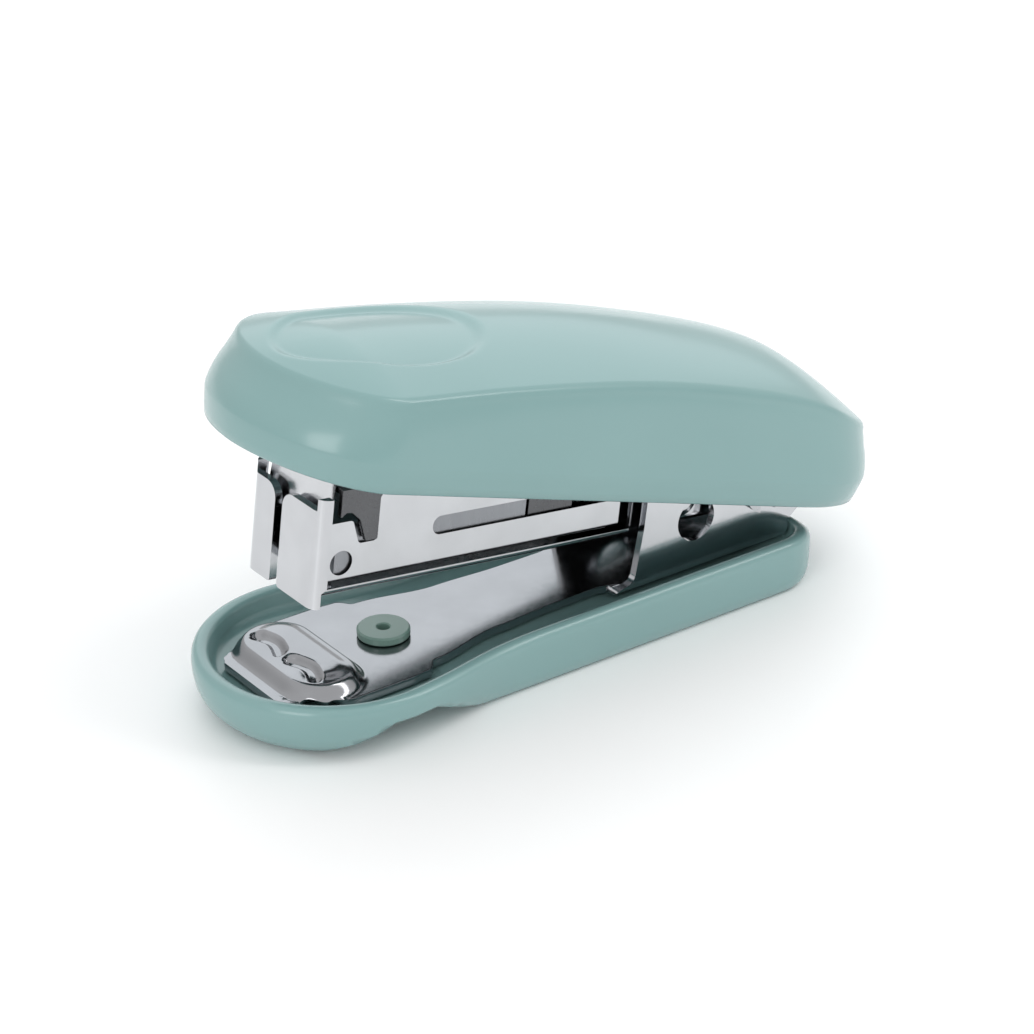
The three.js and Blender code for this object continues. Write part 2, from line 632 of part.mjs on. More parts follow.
function magazineChannel() {
  const top = magZ(MAGAZINE_WALL_HEIGHT + 1);
  const narrows = magY(MAGAZINE_NARROWS_AT);
  const tail = MAGAZINE_TAIL_RADIUS + 1;
  const front = alongY(channelSection(MAGAZINE_HALF_WIDTH, top, 0.7), MAG_FRONT, narrows);
  const rear = alongY(channelSection(MAGAZINE_REAR_HALF_WIDTH, top, 0.7), narrows - SHEET, tail);
  const joint = front.add(rear);
  const outline = alongX(roundedShape([
    [MAG_FRONT - 1, MAG_FLOOR - 1],
    [magY(MAGAZINE_FLOOR_END + 4), MAG_FLOOR - 1],
    [magY(MAGAZINE_FLOOR_END + 5), MAG_FLOOR, 1],
    [tail - 1, MAG_FLOOR, MAGAZINE_TAIL_RADIUS * 0.95],
    [tail - 1, MAGAZINE_TAIL_RADIUS, MAGAZINE_TAIL_RADIUS * 0.9],
    [magY(MAGAZINE_FLOOR_END + 1), MAGAZINE_TAIL_RADIUS + 0.6, 4],
    [magY(30), magZ(MAGAZINE_WALL_HEIGHT), 4],
    [MAG_FRONT - 1, magZ(MAGAZINE_WALL_HEIGHT)],
  ]), -8, 8);
  const openFloor = box(
    -MAGAZINE_REAR_HALF_WIDTH + SHEET + 0.01,
    MAGAZINE_REAR_HALF_WIDTH - SHEET - 0.01,
    magY(MAGAZINE_FLOOR_END),
    tail + 1,
    MAG_FLOOR - 1,
    MAG_FLOOR + SHEET + 0.6,
  );
  return joint.intersect(outline).subtract(openFloor);
}

function frontFlap(fromX, toX, roundedAtHigh) {
  const low = magZ(-FLAP_DROP);
  const high = magZ(FLAP_TOP);
  const [leftRadius, rightRadius] = roundedAtHigh ? [0.3, 1.3] : [1.3, 0.3];
  return alongY(roundedShape([
    [fromX, low, 0.3],
    [toX, low, 0.3],
    [toX, high, rightRadius],
    [fromX, high, leftRadius],
  ]), MAG_FRONT, MAG_FRONT + SHEET);
}

function sideNotch() {
  return alongX(roundedShape([
    [magY(NOTCH_FROM), magZ(MAGAZINE_WALL_HEIGHT + 2)],
    [magY(NOTCH_FROM), magZ(NOTCH_LEDGE_HEIGHT), 0.2],
    [magY(NOTCH_POCKET_FROM - 0.7), magZ(NOTCH_LEDGE_HEIGHT), 0.3],
    [magY(NOTCH_POCKET_FROM), magZ(NOTCH_POCKET_HEIGHT), 0.4],
    [magY(NOTCH_TO), magZ(NOTCH_POCKET_HEIGHT), 0.4],
    [magY(NOTCH_TO), magZ(MAGAZINE_WALL_HEIGHT - 0.7), 0.4],
    [magY(NOTCH_TO + 0.9), magZ(MAGAZINE_WALL_HEIGHT), 0.4],
    [magY(NOTCH_TO + 0.9), magZ(MAGAZINE_WALL_HEIGHT + 2)],
  ]), -8, 8);
}

function magazine() {
  const half = MAGAZINE_HALF_WIDTH;
  const slitLow = FLAP_SLIT_X - FLAP_SLIT_WIDTH / 2;
  const slitHigh = FLAP_SLIT_X + FLAP_SLIT_WIDTH / 2;
  const plan = alongZ(roundedShape([
    [-half, MAG_FRONT, MAGAZINE_CORNER_RADIUS],
    [half, MAG_FRONT, MAGAZINE_CORNER_RADIUS],
    [half, 8],
    [-half, 8],
  ]), MAG_FLOOR - 3, magZ(MAGAZINE_WALL_HEIGHT + 1));
  const exitSlot = box(
    -half + SHEET, half - SHEET, MAG_FRONT + SHEET,
    magY(EXIT_SLOT_END), MAG_FLOOR - 2, MAG_FLOOR + SHEET + 0.6,
  );
  const frontTrim = box(slitLow, slitHigh, MAG_FRONT - 1, MAG_FRONT + SHEET + 0.05, MAG_FLOOR - 3, magZ(12));
  const flaps = union(frontFlap(-half, slitLow, true), frontFlap(slitHigh, half, false));
  const frontOfChannel = box(
    -half + SHEET, half - SHEET, MAG_FRONT - 1, MAG_FRONT + SHEET, MAG_FLOOR - 1, magZ(12),
  );
  const window = alongX(roundedShape([
    [magY(WINDOW_FROM), magZ(WINDOW_LOW), 0.75],
    [magY(WINDOW_TO), magZ(WINDOW_LOW), 0.75],
    [magY(WINDOW_TO), magZ(WINDOW_HIGH), 0.75],
    [magY(WINDOW_FROM), magZ(WINDOW_HIGH), 0.75],
  ]), -8, 8);
  const sideHole = alongX(
    circleShape(magY(SIDE_HOLE_AT), magZ(SIDE_HOLE_HEIGHT), SIDE_HOLE_RADIUS), -8, 8, 10,
  );
  const rivetHole = alongX(
    circleShape(magY(RAIL_RIVET_AT), magZ(RAIL_RIVET_HEIGHT), RAIL_RIVET_RADIUS + 0.1), -8, 8, 10,
  );
  const pivotHole = alongX(circleShape(0, 0, PIN_RADIUS + RUNNING_GAP), -8, 8, 16);
  const body = magazineChannel()
    .subtract(frontOfChannel)
    .add(flaps)
    .intersect(plan)
    .subtract(union(exitSlot, frontTrim))
    .subtract(sideNotch())
    .subtract(union(window, sideHole, rivetHole, pivotHole));
  return piece('magazine', body, bright);
}

// The staples ride astride this inner rail.
function stapleRail() {
  const half = RAIL_HALF_WIDTH;
  const inner = half - RAIL_SHEET;
  const rail = alongY(roundedShape([
    [-half, magZ(RAIL_BOTTOM)],
    [-inner, magZ(RAIL_BOTTOM)],
    [-inner, magZ(RAIL_TOP - RAIL_SHEET), 0.2],
    [inner, magZ(RAIL_TOP - RAIL_SHEET), 0.2],
    [inner, magZ(RAIL_BOTTOM)],
    [half, magZ(RAIL_BOTTOM)],
    [half, magZ(RAIL_TOP), 0.5],
    [-half, magZ(RAIL_TOP), 0.5],
  ]), magY(STAPLE_STRIP_FROM), magY(RAIL_END));
  const slot = box(
    -RAIL_SLOT_HALF_WIDTH, RAIL_SLOT_HALF_WIDTH, magY(RAIL_SLOT_FROM), magY(RAIL_SLOT_TO), magZ(3), magZ(8),
  );
  const rivetHole = alongX(
    circleShape(magY(RAIL_RIVET_AT), magZ(RAIL_RIVET_HEIGHT), RAIL_RIVET_RADIUS + 0.1), -8, 8, 10,
  );
  return piece('staple_rail', rail.subtract(slot).subtract(rivetHole), bright);
}

// Staple-shaped section, used by the strip and by the pusher that follows it.
function stapleSection() {
  const half = STAPLE_HALF_WIDTH;
  const inner = half - STAPLE_WIRE;
  return roundedShape([
    [-half, magZ(STAPLE_BOTTOM)],
    [-inner, magZ(STAPLE_BOTTOM)],
    [-inner, magZ(STAPLE_TOP - STAPLE_WIRE), 0.2],
    [inner, magZ(STAPLE_TOP - STAPLE_WIRE), 0.2],
    [inner, magZ(STAPLE_BOTTOM)],
    [half, magZ(STAPLE_BOTTOM)],
    [half, magZ(STAPLE_TOP), 0.35],
    [-half, magZ(STAPLE_TOP), 0.35],
  ]);
}

function stapleStrip() {
  const strip = alongY(stapleSection(), magY(STAPLE_STRIP_FROM), magY(STAPLE_STRIP_TO), 2);
  return piece('staple_strip', strip, staple);
}

function pusher() {
  const from = magY(STAPLE_STRIP_TO + SEAT_GAP);
  const to = from + PUSHER_LENGTH;
  const saddle = alongY(stapleSection(), from, to, 2);
  const blockHalf = RAIL_HALF_WIDTH - RAIL_SHEET - 0.25;
  const tongueHalf = RAIL_SLOT_HALF_WIDTH - 0.25;
  const block = box(
    -blockHalf, blockHalf, from, to, magZ(RAIL_BOTTOM + 0.4), magZ(RAIL_TOP - RAIL_SHEET - 0.25),
  );
  const tongue = box(
    -tongueHalf, tongueHalf, from, to, magZ(RAIL_TOP - RAIL_SHEET - 0.5), magZ(STAPLE_TOP - 0.2),
  );
  const bore = alongY(circleShape(0, magZ(ROD_HEIGHT), ROD_RADIUS + 0.1), from - 1, to + 1, 8);
  return piece('pusher', union(saddle, block, tongue).subtract(bore), bright);
}

function guideRod() {
  const headFrom = magY(BRACKET_AT + BRACKET_THICKNESS + SEAT_GAP / 2);
  const geometry = new THREE.LatheGeometry([
    [0, magY(ROD_FROM)],
    [ROD_RADIUS * 0.6, magY(ROD_FROM)],
    [ROD_RADIUS, magY(ROD_FROM) + 0.3],
    [ROD_RADIUS, headFrom],
    [ROD_RADIUS + 0.45, headFrom],
    [ROD_RADIUS + 0.45, headFrom + 0.4],
    [0, headFrom + 0.4],
  ].map(([r, y]) => new THREE.Vector2(r, y)), 16);
  geometry.translate(0, 0, magZ(ROD_HEIGHT));
  return piece('guide_rod', solid(geometry), spring);
}

// Plate across the rail that holds the rod and takes the spring's thrust.
function springBracket() {
  const half = RAIL_HALF_WIDTH - RAIL_SHEET - 0.15;
  const from = magY(BRACKET_AT);
  const plate = box(
    -half, half, from, from + BRACKET_THICKNESS, magZ(RAIL_BOTTOM), magZ(RAIL_TOP - RAIL_SHEET - 0.15),
  );
  const bore = alongY(circleShape(0, magZ(ROD_HEIGHT), ROD_RADIUS + 0.05), from - 1, from + 2, 8);
  return piece('spring_bracket', plate.subtract(bore), bright);
}

function pusherSpring() {
  const from = magY(STAPLE_STRIP_TO + PUSHER_LENGTH + 2 * SEAT_GAP) + COIL_WIRE_RADIUS;
  const to = magY(BRACKET_AT - SEAT_GAP) - COIL_WIRE_RADIUS;
  const points = [];
  const steps = COIL_TURNS * 12;
  for (let i = 0; i <= steps; i += 1) {
    const angle = (i / 12) * 2 * Math.PI;
    points.push(new THREE.Vector3(
      COIL_RADIUS * Math.cos(angle),
      THREE.MathUtils.lerp(from, to, i / steps),
      magZ(ROD_HEIGHT) + COIL_RADIUS * Math.sin(angle),
    ));
  }
  const path = new THREE.CatmullRomCurve3(points);
  return piece('pusher_spring', wire(path, COIL_WIRE_RADIUS, steps, 6), spring);
}

// Cross rivet that ties the rail to the magazine's walls.
function railRivet() {
  const wall = MAGAZINE_REAR_HALF_WIDTH;
  const body = turnedAboutX([
    [0, -wall - RAIL_RIVET_HEAD_THICKNESS - 0.04],
    [RAIL_RIVET_HEAD_RADIUS * 0.6, -wall - RAIL_RIVET_HEAD_THICKNESS],
    [RAIL_RIVET_HEAD_RADIUS, -wall - 0.1],
    [RAIL_RIVET_HEAD_RADIUS, -wall - 0.04],
    [RAIL_RIVET_RADIUS, -wall - 0.04],
    [RAIL_RIVET_RADIUS, wall + 0.04],
    [RAIL_RIVET_HEAD_RADIUS, wall + 0.04],
    [RAIL_RIVET_HEAD_RADIUS, wall + 0.1],
    [RAIL_RIVET_HEAD_RADIUS * 0.6, wall + RAIL_RIVET_HEAD_THICKNESS],
    [0, wall + RAIL_RIVET_HEAD_THICKNESS + 0.04],
  ], magY(RAIL_RIVET_AT), magZ(RAIL_RIVET_HEIGHT), 24);
  return piece('rail_rivet', body, bright);
}

// Inverted channel that keeps the front staple down; its tabs hook into the side notches.
function driverGuide() {
  const half = MAGAZINE_HALF_WIDTH - GUIDE_SIDE_INSET;
  const tabLow = NOTCH_POCKET_HEIGHT + SEAT_GAP;
  const rear = NOTCH_TO - SEAT_GAP;
  const wall = [
    [magY(GUIDE_FRONT), magZ(GUIDE_TOP)],
    [magY(GUIDE_FRONT), magZ(NOTCH_LEDGE_HEIGHT + 0.5), 0.1],
    [magY(GUIDE_FRONT + 0.5), magZ(NOTCH_LEDGE_HEIGHT + 0.95), 0.4],
    [magY(NOTCH_POCKET_FROM - 1.2), magZ(NOTCH_LEDGE_HEIGHT + 0.9), 0.5],
    [magY(NOTCH_POCKET_FROM - 0.3), magZ(NOTCH_LEDGE_HEIGHT + 0.1), 0.3],
    [magY(NOTCH_POCKET_FROM + 0.35), magZ(tabLow), 0.2],
    [magY(rear), magZ(tabLow), 0.2],
    [magY(rear), magZ(GUIDE_TOP)],
  ];
  const block = alongX(roundedShape(wall), -half, half);
  const hollow = box(
    -half + GUIDE_SHEET, half - GUIDE_SHEET, magY(0), magY(8), magZ(0), magZ(GUIDE_TOP - GUIDE_SHEET),
  );
  return piece('driver_guide', block.subtract(hollow), bright);
}

// ---------- handle: Y and Z are measured from the pivot in the handle's own frame ----------

const PRESSED_ANGLE = HANDLE_TILT - MAGAZINE_TILT - HANDLE_PRESS;
const WEB_BOTTOM = FRAME_WEB_TOP - FRAME_SHEET;
const BLADE_FRONT = MAG_FRONT + SHEET + 0.25;
const FRAME_FRONT = BLADE_FRONT + BLADE_THICKNESS + 0.4;

function handleFrame() {
  const half = FRAME_HALF_WIDTH;
  const inner = half - FRAME_SHEET;
  const channel = alongY(roundedShape([
    [-half, -4],
    [-inner, -4],
    [-inner, WEB_BOTTOM, 0.3],
    [inner, WEB_BOTTOM, 0.3],
    [inner, -4],
    [half, -4],
    [half, FRAME_WEB_TOP, 0.7],
    [-half, FRAME_WEB_TOP, 0.7],
  ]), FRAME_FRONT - 1, FRAME_REAR + 1);
  const eye = FRAME_EYE_RADIUS;
  const outline = alongX(roundedShape([
    [FRAME_FRONT, FRAME_WEB_TOP + 1],
    [FRAME_FRONT, WEB_BOTTOM - FRAME_LIP + 0.5, 0.5],
    [-10, WEB_BOTTOM - FRAME_LIP + 0.5, 2],
    [-4.4, 2.2, 1.5],
    [-eye, -eye, eye * 0.9],
    [eye, -eye, eye * 0.9],
    [FRAME_REAR, 2],
    [FRAME_REAR, FRAME_WEB_TOP + 1],
  ]), -half - 1, half + 1);
  const pivotHole = alongX(circleShape(0, 0, PIN_RADIUS + RUNNING_GAP), -8, 8, 16);
  const rivetHoles = frameRivetPlaces().map((y) =>
    alongZ(circleShape(0, y, FRAME_RIVET_RADIUS + 0.1), 0, 10, 8));
  const body = channel.intersect(outline).subtract(union(pivotHole, ...rivetHoles));
  return piece('handle_frame', body, bright);
}

// One rivet holds the blade's flange and one the leaf spring.
function frameRivetPlaces() {
  const flangeRivet = FRAME_FRONT + BLADE_FLANGE_LENGTH * 0.5;
  return [flangeRivet, flangeRivet + BLADE_FLANGE_LENGTH * 0.5 + 4];
}

function frameRivet(name, y) {
  const low = WEB_BOTTOM - BLADE_THICKNESS - 2 * 0.1;
  const high = FRAME_WEB_TOP + 0.1;
  const body = turnedAboutZ([
    [0, low - 0.5],
    [FRAME_RIVET_HEAD_RADIUS * 0.7, low - 0.5],
    [FRAME_RIVET_HEAD_RADIUS, low - 0.2],
    [FRAME_RIVET_HEAD_RADIUS, low],
    [FRAME_RIVET_RADIUS, low],
    [FRAME_RIVET_RADIUS, high],
    [FRAME_RIVET_HEAD_RADIUS, high],
    [FRAME_RIVET_HEAD_RADIUS, high + 0.2],
    [FRAME_RIVET_HEAD_RADIUS * 0.7, high + 0.5],
    [0, high + 0.5],
  ], 0, y, 20);
  return piece(name, body, bright);
}

function driverBlade() {
  const half = BLADE_HALF_WIDTH;
  const flangeTop = WEB_BOTTOM - 0.1;
  const upright = alongX(roundedShape([
    [BLADE_FRONT, magZ(BLADE_TIP)],
    [BLADE_FRONT + BLADE_THICKNESS, magZ(BLADE_TIP)],
    [BLADE_FRONT + BLADE_THICKNESS, 12],
    [BLADE_FRONT, 12],
  ]), -half, half).rotate([PRESSED_ANGLE, 0, 0]);
  const below = box(-half - 1, half + 1, BLADE_FRONT - 6, FRAME_FRONT + 2, -12, flangeTop);
  const flange = box(
    -FRAME_HALF_WIDTH + FRAME_SHEET + 0.2,
    FRAME_HALF_WIDTH - FRAME_SHEET - 0.2,
    BLADE_FRONT,
    FRAME_FRONT + BLADE_FLANGE_LENGTH,
    flangeTop - BLADE_THICKNESS,
    flangeTop,
  );
  const hole = alongZ(circleShape(0, frameRivetPlaces()[0], FRAME_RIVET_RADIUS + 0.1), 0, 10, 8);
  return piece('driver_blade', upright.intersect(below).add(flange).subtract(hole), bright);
}

// Leaf spring under the frame; its broad tip rests on the magazine's walls and lifts the handle.
function handleSpring() {
  const rivetAt = frameRivetPlaces()[1];
  const top = WEB_BOTTOM - 0.1;
  const angle = THREE.MathUtils.degToRad(HANDLE_TILT - MAGAZINE_TILT);
  const wallTop = magZ(MAGAZINE_WALL_HEIGHT) + SEAT_GAP;
  const tip = new THREE.Vector2(
    -LEAF_TIP_FROM_PIVOT * Math.cos(angle) - wallTop * Math.sin(angle),
    -LEAF_TIP_FROM_PIVOT * Math.sin(angle) + wallTop * Math.cos(angle),
  );
  const clampFrom = rivetAt - 2.4;
  const clampTo = rivetAt + 2.2;
  const upper = new THREE.CubicBezierCurve(
    new THREE.Vector2(clampTo, top),
    new THREE.Vector2(clampTo + 4, top),
    new THREE.Vector2(tip.x - 5, tip.y + LEAF_THICKNESS + 1.4),
    new THREE.Vector2(tip.x, tip.y + LEAF_THICKNESS),
  ).getPoints(12);
  const lower = upper.map((p) => new THREE.Vector2(p.x, p.y - LEAF_THICKNESS)).reverse();
  const profile = new THREE.Shape([new THREE.Vector2(clampFrom, top), ...upper, ...lower,
    new THREE.Vector2(clampFrom, top - LEAF_THICKNESS)]);
  const wide = alongX(profile, -MAGAZINE_HALF_WIDTH - 0.3, MAGAZINE_HALF_WIDTH + 0.3);
  const plan = alongZ(roundedShape([
    [-LEAF_HALF_WIDTH, clampFrom - 1],
    [LEAF_HALF_WIDTH, clampFrom - 1],
    [LEAF_HALF_WIDTH, tip.x - 2.4, 0.8],
    [MAGAZINE_HALF_WIDTH + 0.3, tip.x - 1.6, 0.5],
    [MAGAZINE_HALF_WIDTH + 0.3, tip.x + 1],
    [-MAGAZINE_HALF_WIDTH - 0.3, tip.x + 1],
    [-MAGAZINE_HALF_WIDTH - 0.3, tip.x - 1.6, 0.5],
    [-LEAF_HALF_WIDTH, tip.x - 2.4, 0.8],
  ]), -20, 20);
  const hole = alongZ(circleShape(0, rivetAt, FRAME_RIVET_RADIUS + 0.1), 0, 10, 8);
  return piece('handle_spring', wide.intersect(plan).subtract(hole), spring);
}

// Height of the cover's shoulder above its lower edge, as [share of the length from the nose, height].
const SHOULDER_LINE = [
  [0, 6.4], [0.11, 7.0], [0.285, 8.5], [0.475, 9.6], [0.63, 9.7],
  [0.79, 9.0], [0.9, 7.2], [0.965, 6.0], [1, 4.6],
];

function shoulderHeight(y) {
  const share = THREE.MathUtils.clamp((y + COVER_FRONT) / (COVER_FRONT + COVER_REAR), 0, 1);
  const last = SHOULDER_LINE.length - 1;
  const after = Math.max(1, SHOULDER_LINE.findIndex(([at]) => at >= share));
  const [from, low] = SHOULDER_LINE[after - 1];
  const [to, high] = SHOULDER_LINE[after];
  const slope = (k) => {
    const [a, b] = [Math.max(k - 1, 0), Math.min(k + 1, last)];
    return (SHOULDER_LINE[b][1] - SHOULDER_LINE[a][1]) / (SHOULDER_LINE[b][0] - SHOULDER_LINE[a][0]);
  };
  const span = to - from;
  const t = (share - from) / span;
  const start = (2 * t ** 3 - 3 * t ** 2 + 1) * low + (t ** 3 - 2 * t ** 2 + t) * span * slope(after - 1);
  return start + (3 * t ** 2 - 2 * t ** 3) * high + (t ** 3 - t ** 2) * span * slope(after);
}

// Plan outline of the cover drawn in by one distance all round and by a further share of the ends' lean.
function coverOutline(inset, lean) {
  const half = COVER_HALF_WIDTH - inset;
  const front = -COVER_FRONT + inset + lean * COVER_NOSE_LEAN;
  const rear = COVER_REAR - inset - lean * COVER_TAIL_LEAN;
  const noseEnd = -COVER_FRONT + COVER_NOSE_LENGTH;
  const tailStart = COVER_REAR - COVER_TAIL_LENGTH;
  const side = [];
  for (let i = 0; i <= 14; i += 1) {
    const angle = (i / 14) * (Math.PI / 2);
    const power = 2 / COVER_NOSE_SQUARENESS;
    side.push([
      half * Math.sin(angle) ** power,
      noseEnd - (noseEnd - front) * Math.cos(angle) ** power,
    ]);
  }
  for (let i = 1; i <= 10; i += 1) {
    side.push([half, THREE.MathUtils.lerp(noseEnd, tailStart, i / 10)]);
  }
  for (let i = 1; i <= 14; i += 1) {
    const angle = (i / 14) * (Math.PI / 2);
    const power = 2 / COVER_TAIL_SQUARENESS;
    side.push([
      half * Math.cos(angle) ** power,
      tailStart + (rear - tailStart) * Math.sin(angle) ** power,
    ]);
  }
  const mirrored = side.slice(1, -1).reverse().map(([x, y]) => [-x, y]);
  return [...side, ...mirrored];
}

// One ring of the cover's skin: drawn in by inset, shrunk towards the spine by spread, raised by rise.
function coverRing(inset, lean, spread, rise) {
  const spineFrom = -COVER_FRONT + COVER_NOSE_LENGTH;
  const spineTo = COVER_REAR - COVER_TAIL_LENGTH;
  return coverOutline(inset, lean).map(([x, y]) => {
    const anchor = THREE.MathUtils.clamp(y, spineFrom, spineTo);
    const ringY = anchor + (y - anchor) * spread;
    return new THREE.Vector3(x * spread, ringY, rise(shoulderHeight(ringY)) - COVER_PIVOT_HEIGHT);
  });
}

// The skin from its crown to its lower edge, drawn in by a wall's thickness.
function coverSkin(wall) {
  const top = COVER_TOP_INSET + wall;
  const brim = COVER_BRIM - wall;
  const crown = (spread) => (shoulder) => shoulder + brim + COVER_CROWN * (1 - spread ** 1.8);
  return [
    ...[0, 0.35, 0.6, 0.8].map((spread) => coverRing(top, 1, spread, crown(spread))),
    coverRing(top, 1, 0.94, (shoulder) => shoulder + brim),
    coverRing(top - 0.05, 0.95, 1, (shoulder) => shoulder - wall - 0.25),
    coverRing(top - 0.45, 0.7, 1, (shoulder) => shoulder - wall - 1.2),
    coverRing(0.23 + wall, 0.2, 1, (shoulder) => (shoulder - wall) * 0.62),
    coverRing(wall, 0, 1, () => COVER_CREASE_HEIGHT),
    coverRing(COVER_EDGE_TUCK + wall, 0, 1, () => 0),
  ];
}

function handleCover() {
  const shell = loft([...coverSkin(COVER_WALL), ...coverSkin(0).reverse()]);
  const ribs = [-COVER_FRONT + 15, -COVER_FRONT + 40].map((y) => {
    const ribTop = shoulderHeight(y) - COVER_PIVOT_HEIGHT + COVER_CROWN - 0.5;
    return box(-FRAME_HALF_WIDTH, FRAME_HALF_WIDTH, y, y + 1.2, FRAME_WEB_TOP + SEAT_GAP, ribTop);
  });
  return piece('handle_cover', union(shell, ...ribs), plastic);
}

// ---------- assembly ----------

function turned(tilt, ...parts) {
  const group = new THREE.Group();
  group.add(...parts);
  group.position.set(0, PIVOT_Y, PIVOT_Z);
  group.rotation.x = THREE.MathUtils.degToRad(-tilt);
  return group;
}

const base = new THREE.Group();
base.add(baseCover(), basePlate(), baseRivet(), pivotPin(), pinClip(), magazineSpring());

const magazineGroup = turned(
  MAGAZINE_TILT,
  magazine(), stapleRail(), driverGuide(), stapleStrip(), railRivet(),
  guideRod(), springBracket(), pusher(), pusherSpring(),
);

const [flangeRivetY, leafRivetY] = frameRivetPlaces();
const handleGroup = turned(
  HANDLE_TILT,
  handleCover(), handleFrame(), driverBlade(), handleSpring(),
  frameRivet('blade_rivet', flangeRivetY), frameRivet('spring_rivet', leafRivetY),
);

const stapler = new THREE.Group();
stapler.add(base, magazineGroup, handleGroup);
const middle = new THREE.Box3().setFromObject(stapler, true).getCenter(new THREE.Vector3());
stapler.position.y = -middle.y;

export default stapler;
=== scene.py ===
import bpy
import bmesh
import json
import math
from mathutils import Matrix, Vector


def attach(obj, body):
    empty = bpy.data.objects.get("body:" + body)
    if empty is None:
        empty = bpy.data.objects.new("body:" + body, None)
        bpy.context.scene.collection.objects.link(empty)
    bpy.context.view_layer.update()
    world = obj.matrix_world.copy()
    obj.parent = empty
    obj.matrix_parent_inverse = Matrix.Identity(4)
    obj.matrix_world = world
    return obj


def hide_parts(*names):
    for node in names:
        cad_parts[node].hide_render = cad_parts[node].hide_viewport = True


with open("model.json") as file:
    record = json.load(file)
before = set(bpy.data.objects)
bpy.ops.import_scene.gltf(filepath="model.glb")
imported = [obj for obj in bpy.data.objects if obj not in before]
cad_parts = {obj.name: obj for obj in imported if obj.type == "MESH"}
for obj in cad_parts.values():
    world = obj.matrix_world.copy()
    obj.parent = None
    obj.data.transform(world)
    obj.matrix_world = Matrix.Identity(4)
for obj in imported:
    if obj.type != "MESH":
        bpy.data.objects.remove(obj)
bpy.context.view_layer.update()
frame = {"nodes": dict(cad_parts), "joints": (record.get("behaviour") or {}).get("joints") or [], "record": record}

# The row frame is in metres with its origin under the middle of the bounding box. The sizes below
# are in millimetres from the centre of the tray's round front, which MM and SHIFT bring together.
MM = 0.001
PIVOT = Vector(next(j["pos_m"] for j in frame["joints"] if j["type"] == "hinge"))
PIVOT_Y, PIVOT_Z = 41.0, PIVOT.z / MM
SHIFT = PIVOT.y / MM - PIVOT_Y
MAGAZINE_TILT, HANDLE_TILT = 7.36, 18.25


# ---------- mesh helpers ----------

def place_base(p):
    return Vector((p[0], p[1] + SHIFT, p[2])) * MM


def place_tilted(tilt):
    a = math.radians(tilt)
    c, s = math.cos(a), math.sin(a)

    def place(p):
        y, z = p[1] * c + p[2] * s, -p[1] * s + p[2] * c
        return Vector((p[0], y + PIVOT_Y + SHIFT, z + PIVOT_Z)) * MM
    return place


place_magazine = place_tilted(MAGAZINE_TILT)
place_handle = place_tilted(HANDLE_TILT)


def make(name, verts, faces, place, material, body, slot, nodes=(), smooth=True):
    mesh = bpy.data.meshes.new(name)
    mesh.from_pydata([place(v) for v in verts], [], faces)
    mesh.validate()
    bm = bmesh.new()
    bm.from_mesh(mesh)
    bmesh.ops.remove_doubles(bm, verts=bm.verts, dist=1e-7)
    bmesh.ops.dissolve_degenerate(bm, dist=1e-7, edges=bm.edges)
    bmesh.ops.recalc_face_normals(bm, faces=bm.faces)
    bm.to_mesh(mesh)
    bm.free()
    for p in mesh.polygons:
        p.use_smooth = smooth
    obj = bpy.data.objects.new(name, mesh)
    bpy.context.scene.collection.objects.link(obj)
    mesh.materials.append(material)
    if nodes:
        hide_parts(*nodes)
    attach(obj, body)
    return obj


def bevel(obj, width, segments=3, angle=30):
    mod = obj.modifiers.new("bevel", "BEVEL")
    mod.width = width * MM
    mod.segments = segments
    mod.limit_method = "ANGLE"
    mod.angle_limit = math.radians(angle)
    mod.harden_normals = False
    weighted = obj.modifiers.new("normals", "WEIGHTED_NORMAL")
    weighted.keep_sharp = True
    return obj


def loft(rings):
    verts = [p for ring in rings for p in ring]
    n = len(rings[0])
    faces = []
    for k in range(len(rings) - 1):
        for i in range(n):
            j = (i + 1) % n
            faces.append((k * n + i, k * n + j, (k + 1) * n + j, (k + 1) * n + i))
    return verts, faces


def rounded(points, steps=6):
    """A closed outline with its corners rounded, from (u, v, radius) points."""
    out = []
    n = len(points)
    for i, p in enumerate(points):
        here = Vector(p[:2])
        radius = p[2] if len(p) > 2 else 0
        back = (Vector(points[i - 1][:2]) - here).normalized()
        ahead = (Vector(points[(i + 1) % n][:2]) - here).normalized()
        if radius <= 0:
            out.append(here)
            continue
        half = math.acos(max(-1, min(1, back.dot(ahead)))) / 2
        reach = radius / math.tan(half)
        centre = here + (back + ahead).normalized() * (radius / math.sin(half))
        a, b = here + back * reach - centre, here + ahead * reach - centre
        start = math.atan2(a.y, a.x)
        sweep = (math.atan2(b.y, b.x) - start + math.pi) % (2 * math.pi) - math.pi
        for k in range(steps + 1):
            angle = start + sweep * k / steps
            out.append(centre + Vector((math.cos(angle), math.sin(angle))) * radius)
    return out


def circle(u, v, radius, count=40):
    return [Vector((u + radius * math.cos(2 * math.pi * k / count),
                    v + radius * math.sin(2 * math.pi * k / count))) for k in range(count)]


def prism(outline, low, high, axis):
    """A solid from a flat outline: axis x takes (y, z) points, y takes (x, z) and z takes (x, y)."""
    def at(p, d):
        if axis == "x":
            return (d, p[0], p[1])
        if axis == "y":
            return (p[0], d, p[1])
        return (p[0], p[1], d)
    n = len(outline)
    verts = [at(p, low) for p in outline] + [at(p, high) for p in outline]
    faces = [tuple(range(n)), tuple(range(2 * n - 1, n - 1, -1))]
    faces += [(i, (i + 1) % n, n + (i + 1) % n, n + i) for i in range(n)]
    return verts, faces


def block(x0, x1, y0, y1, z0, z1):
    return prism([(x0, y0), (x1, y0), (x1, y1), (x0, y1)], z0, z1, "z")


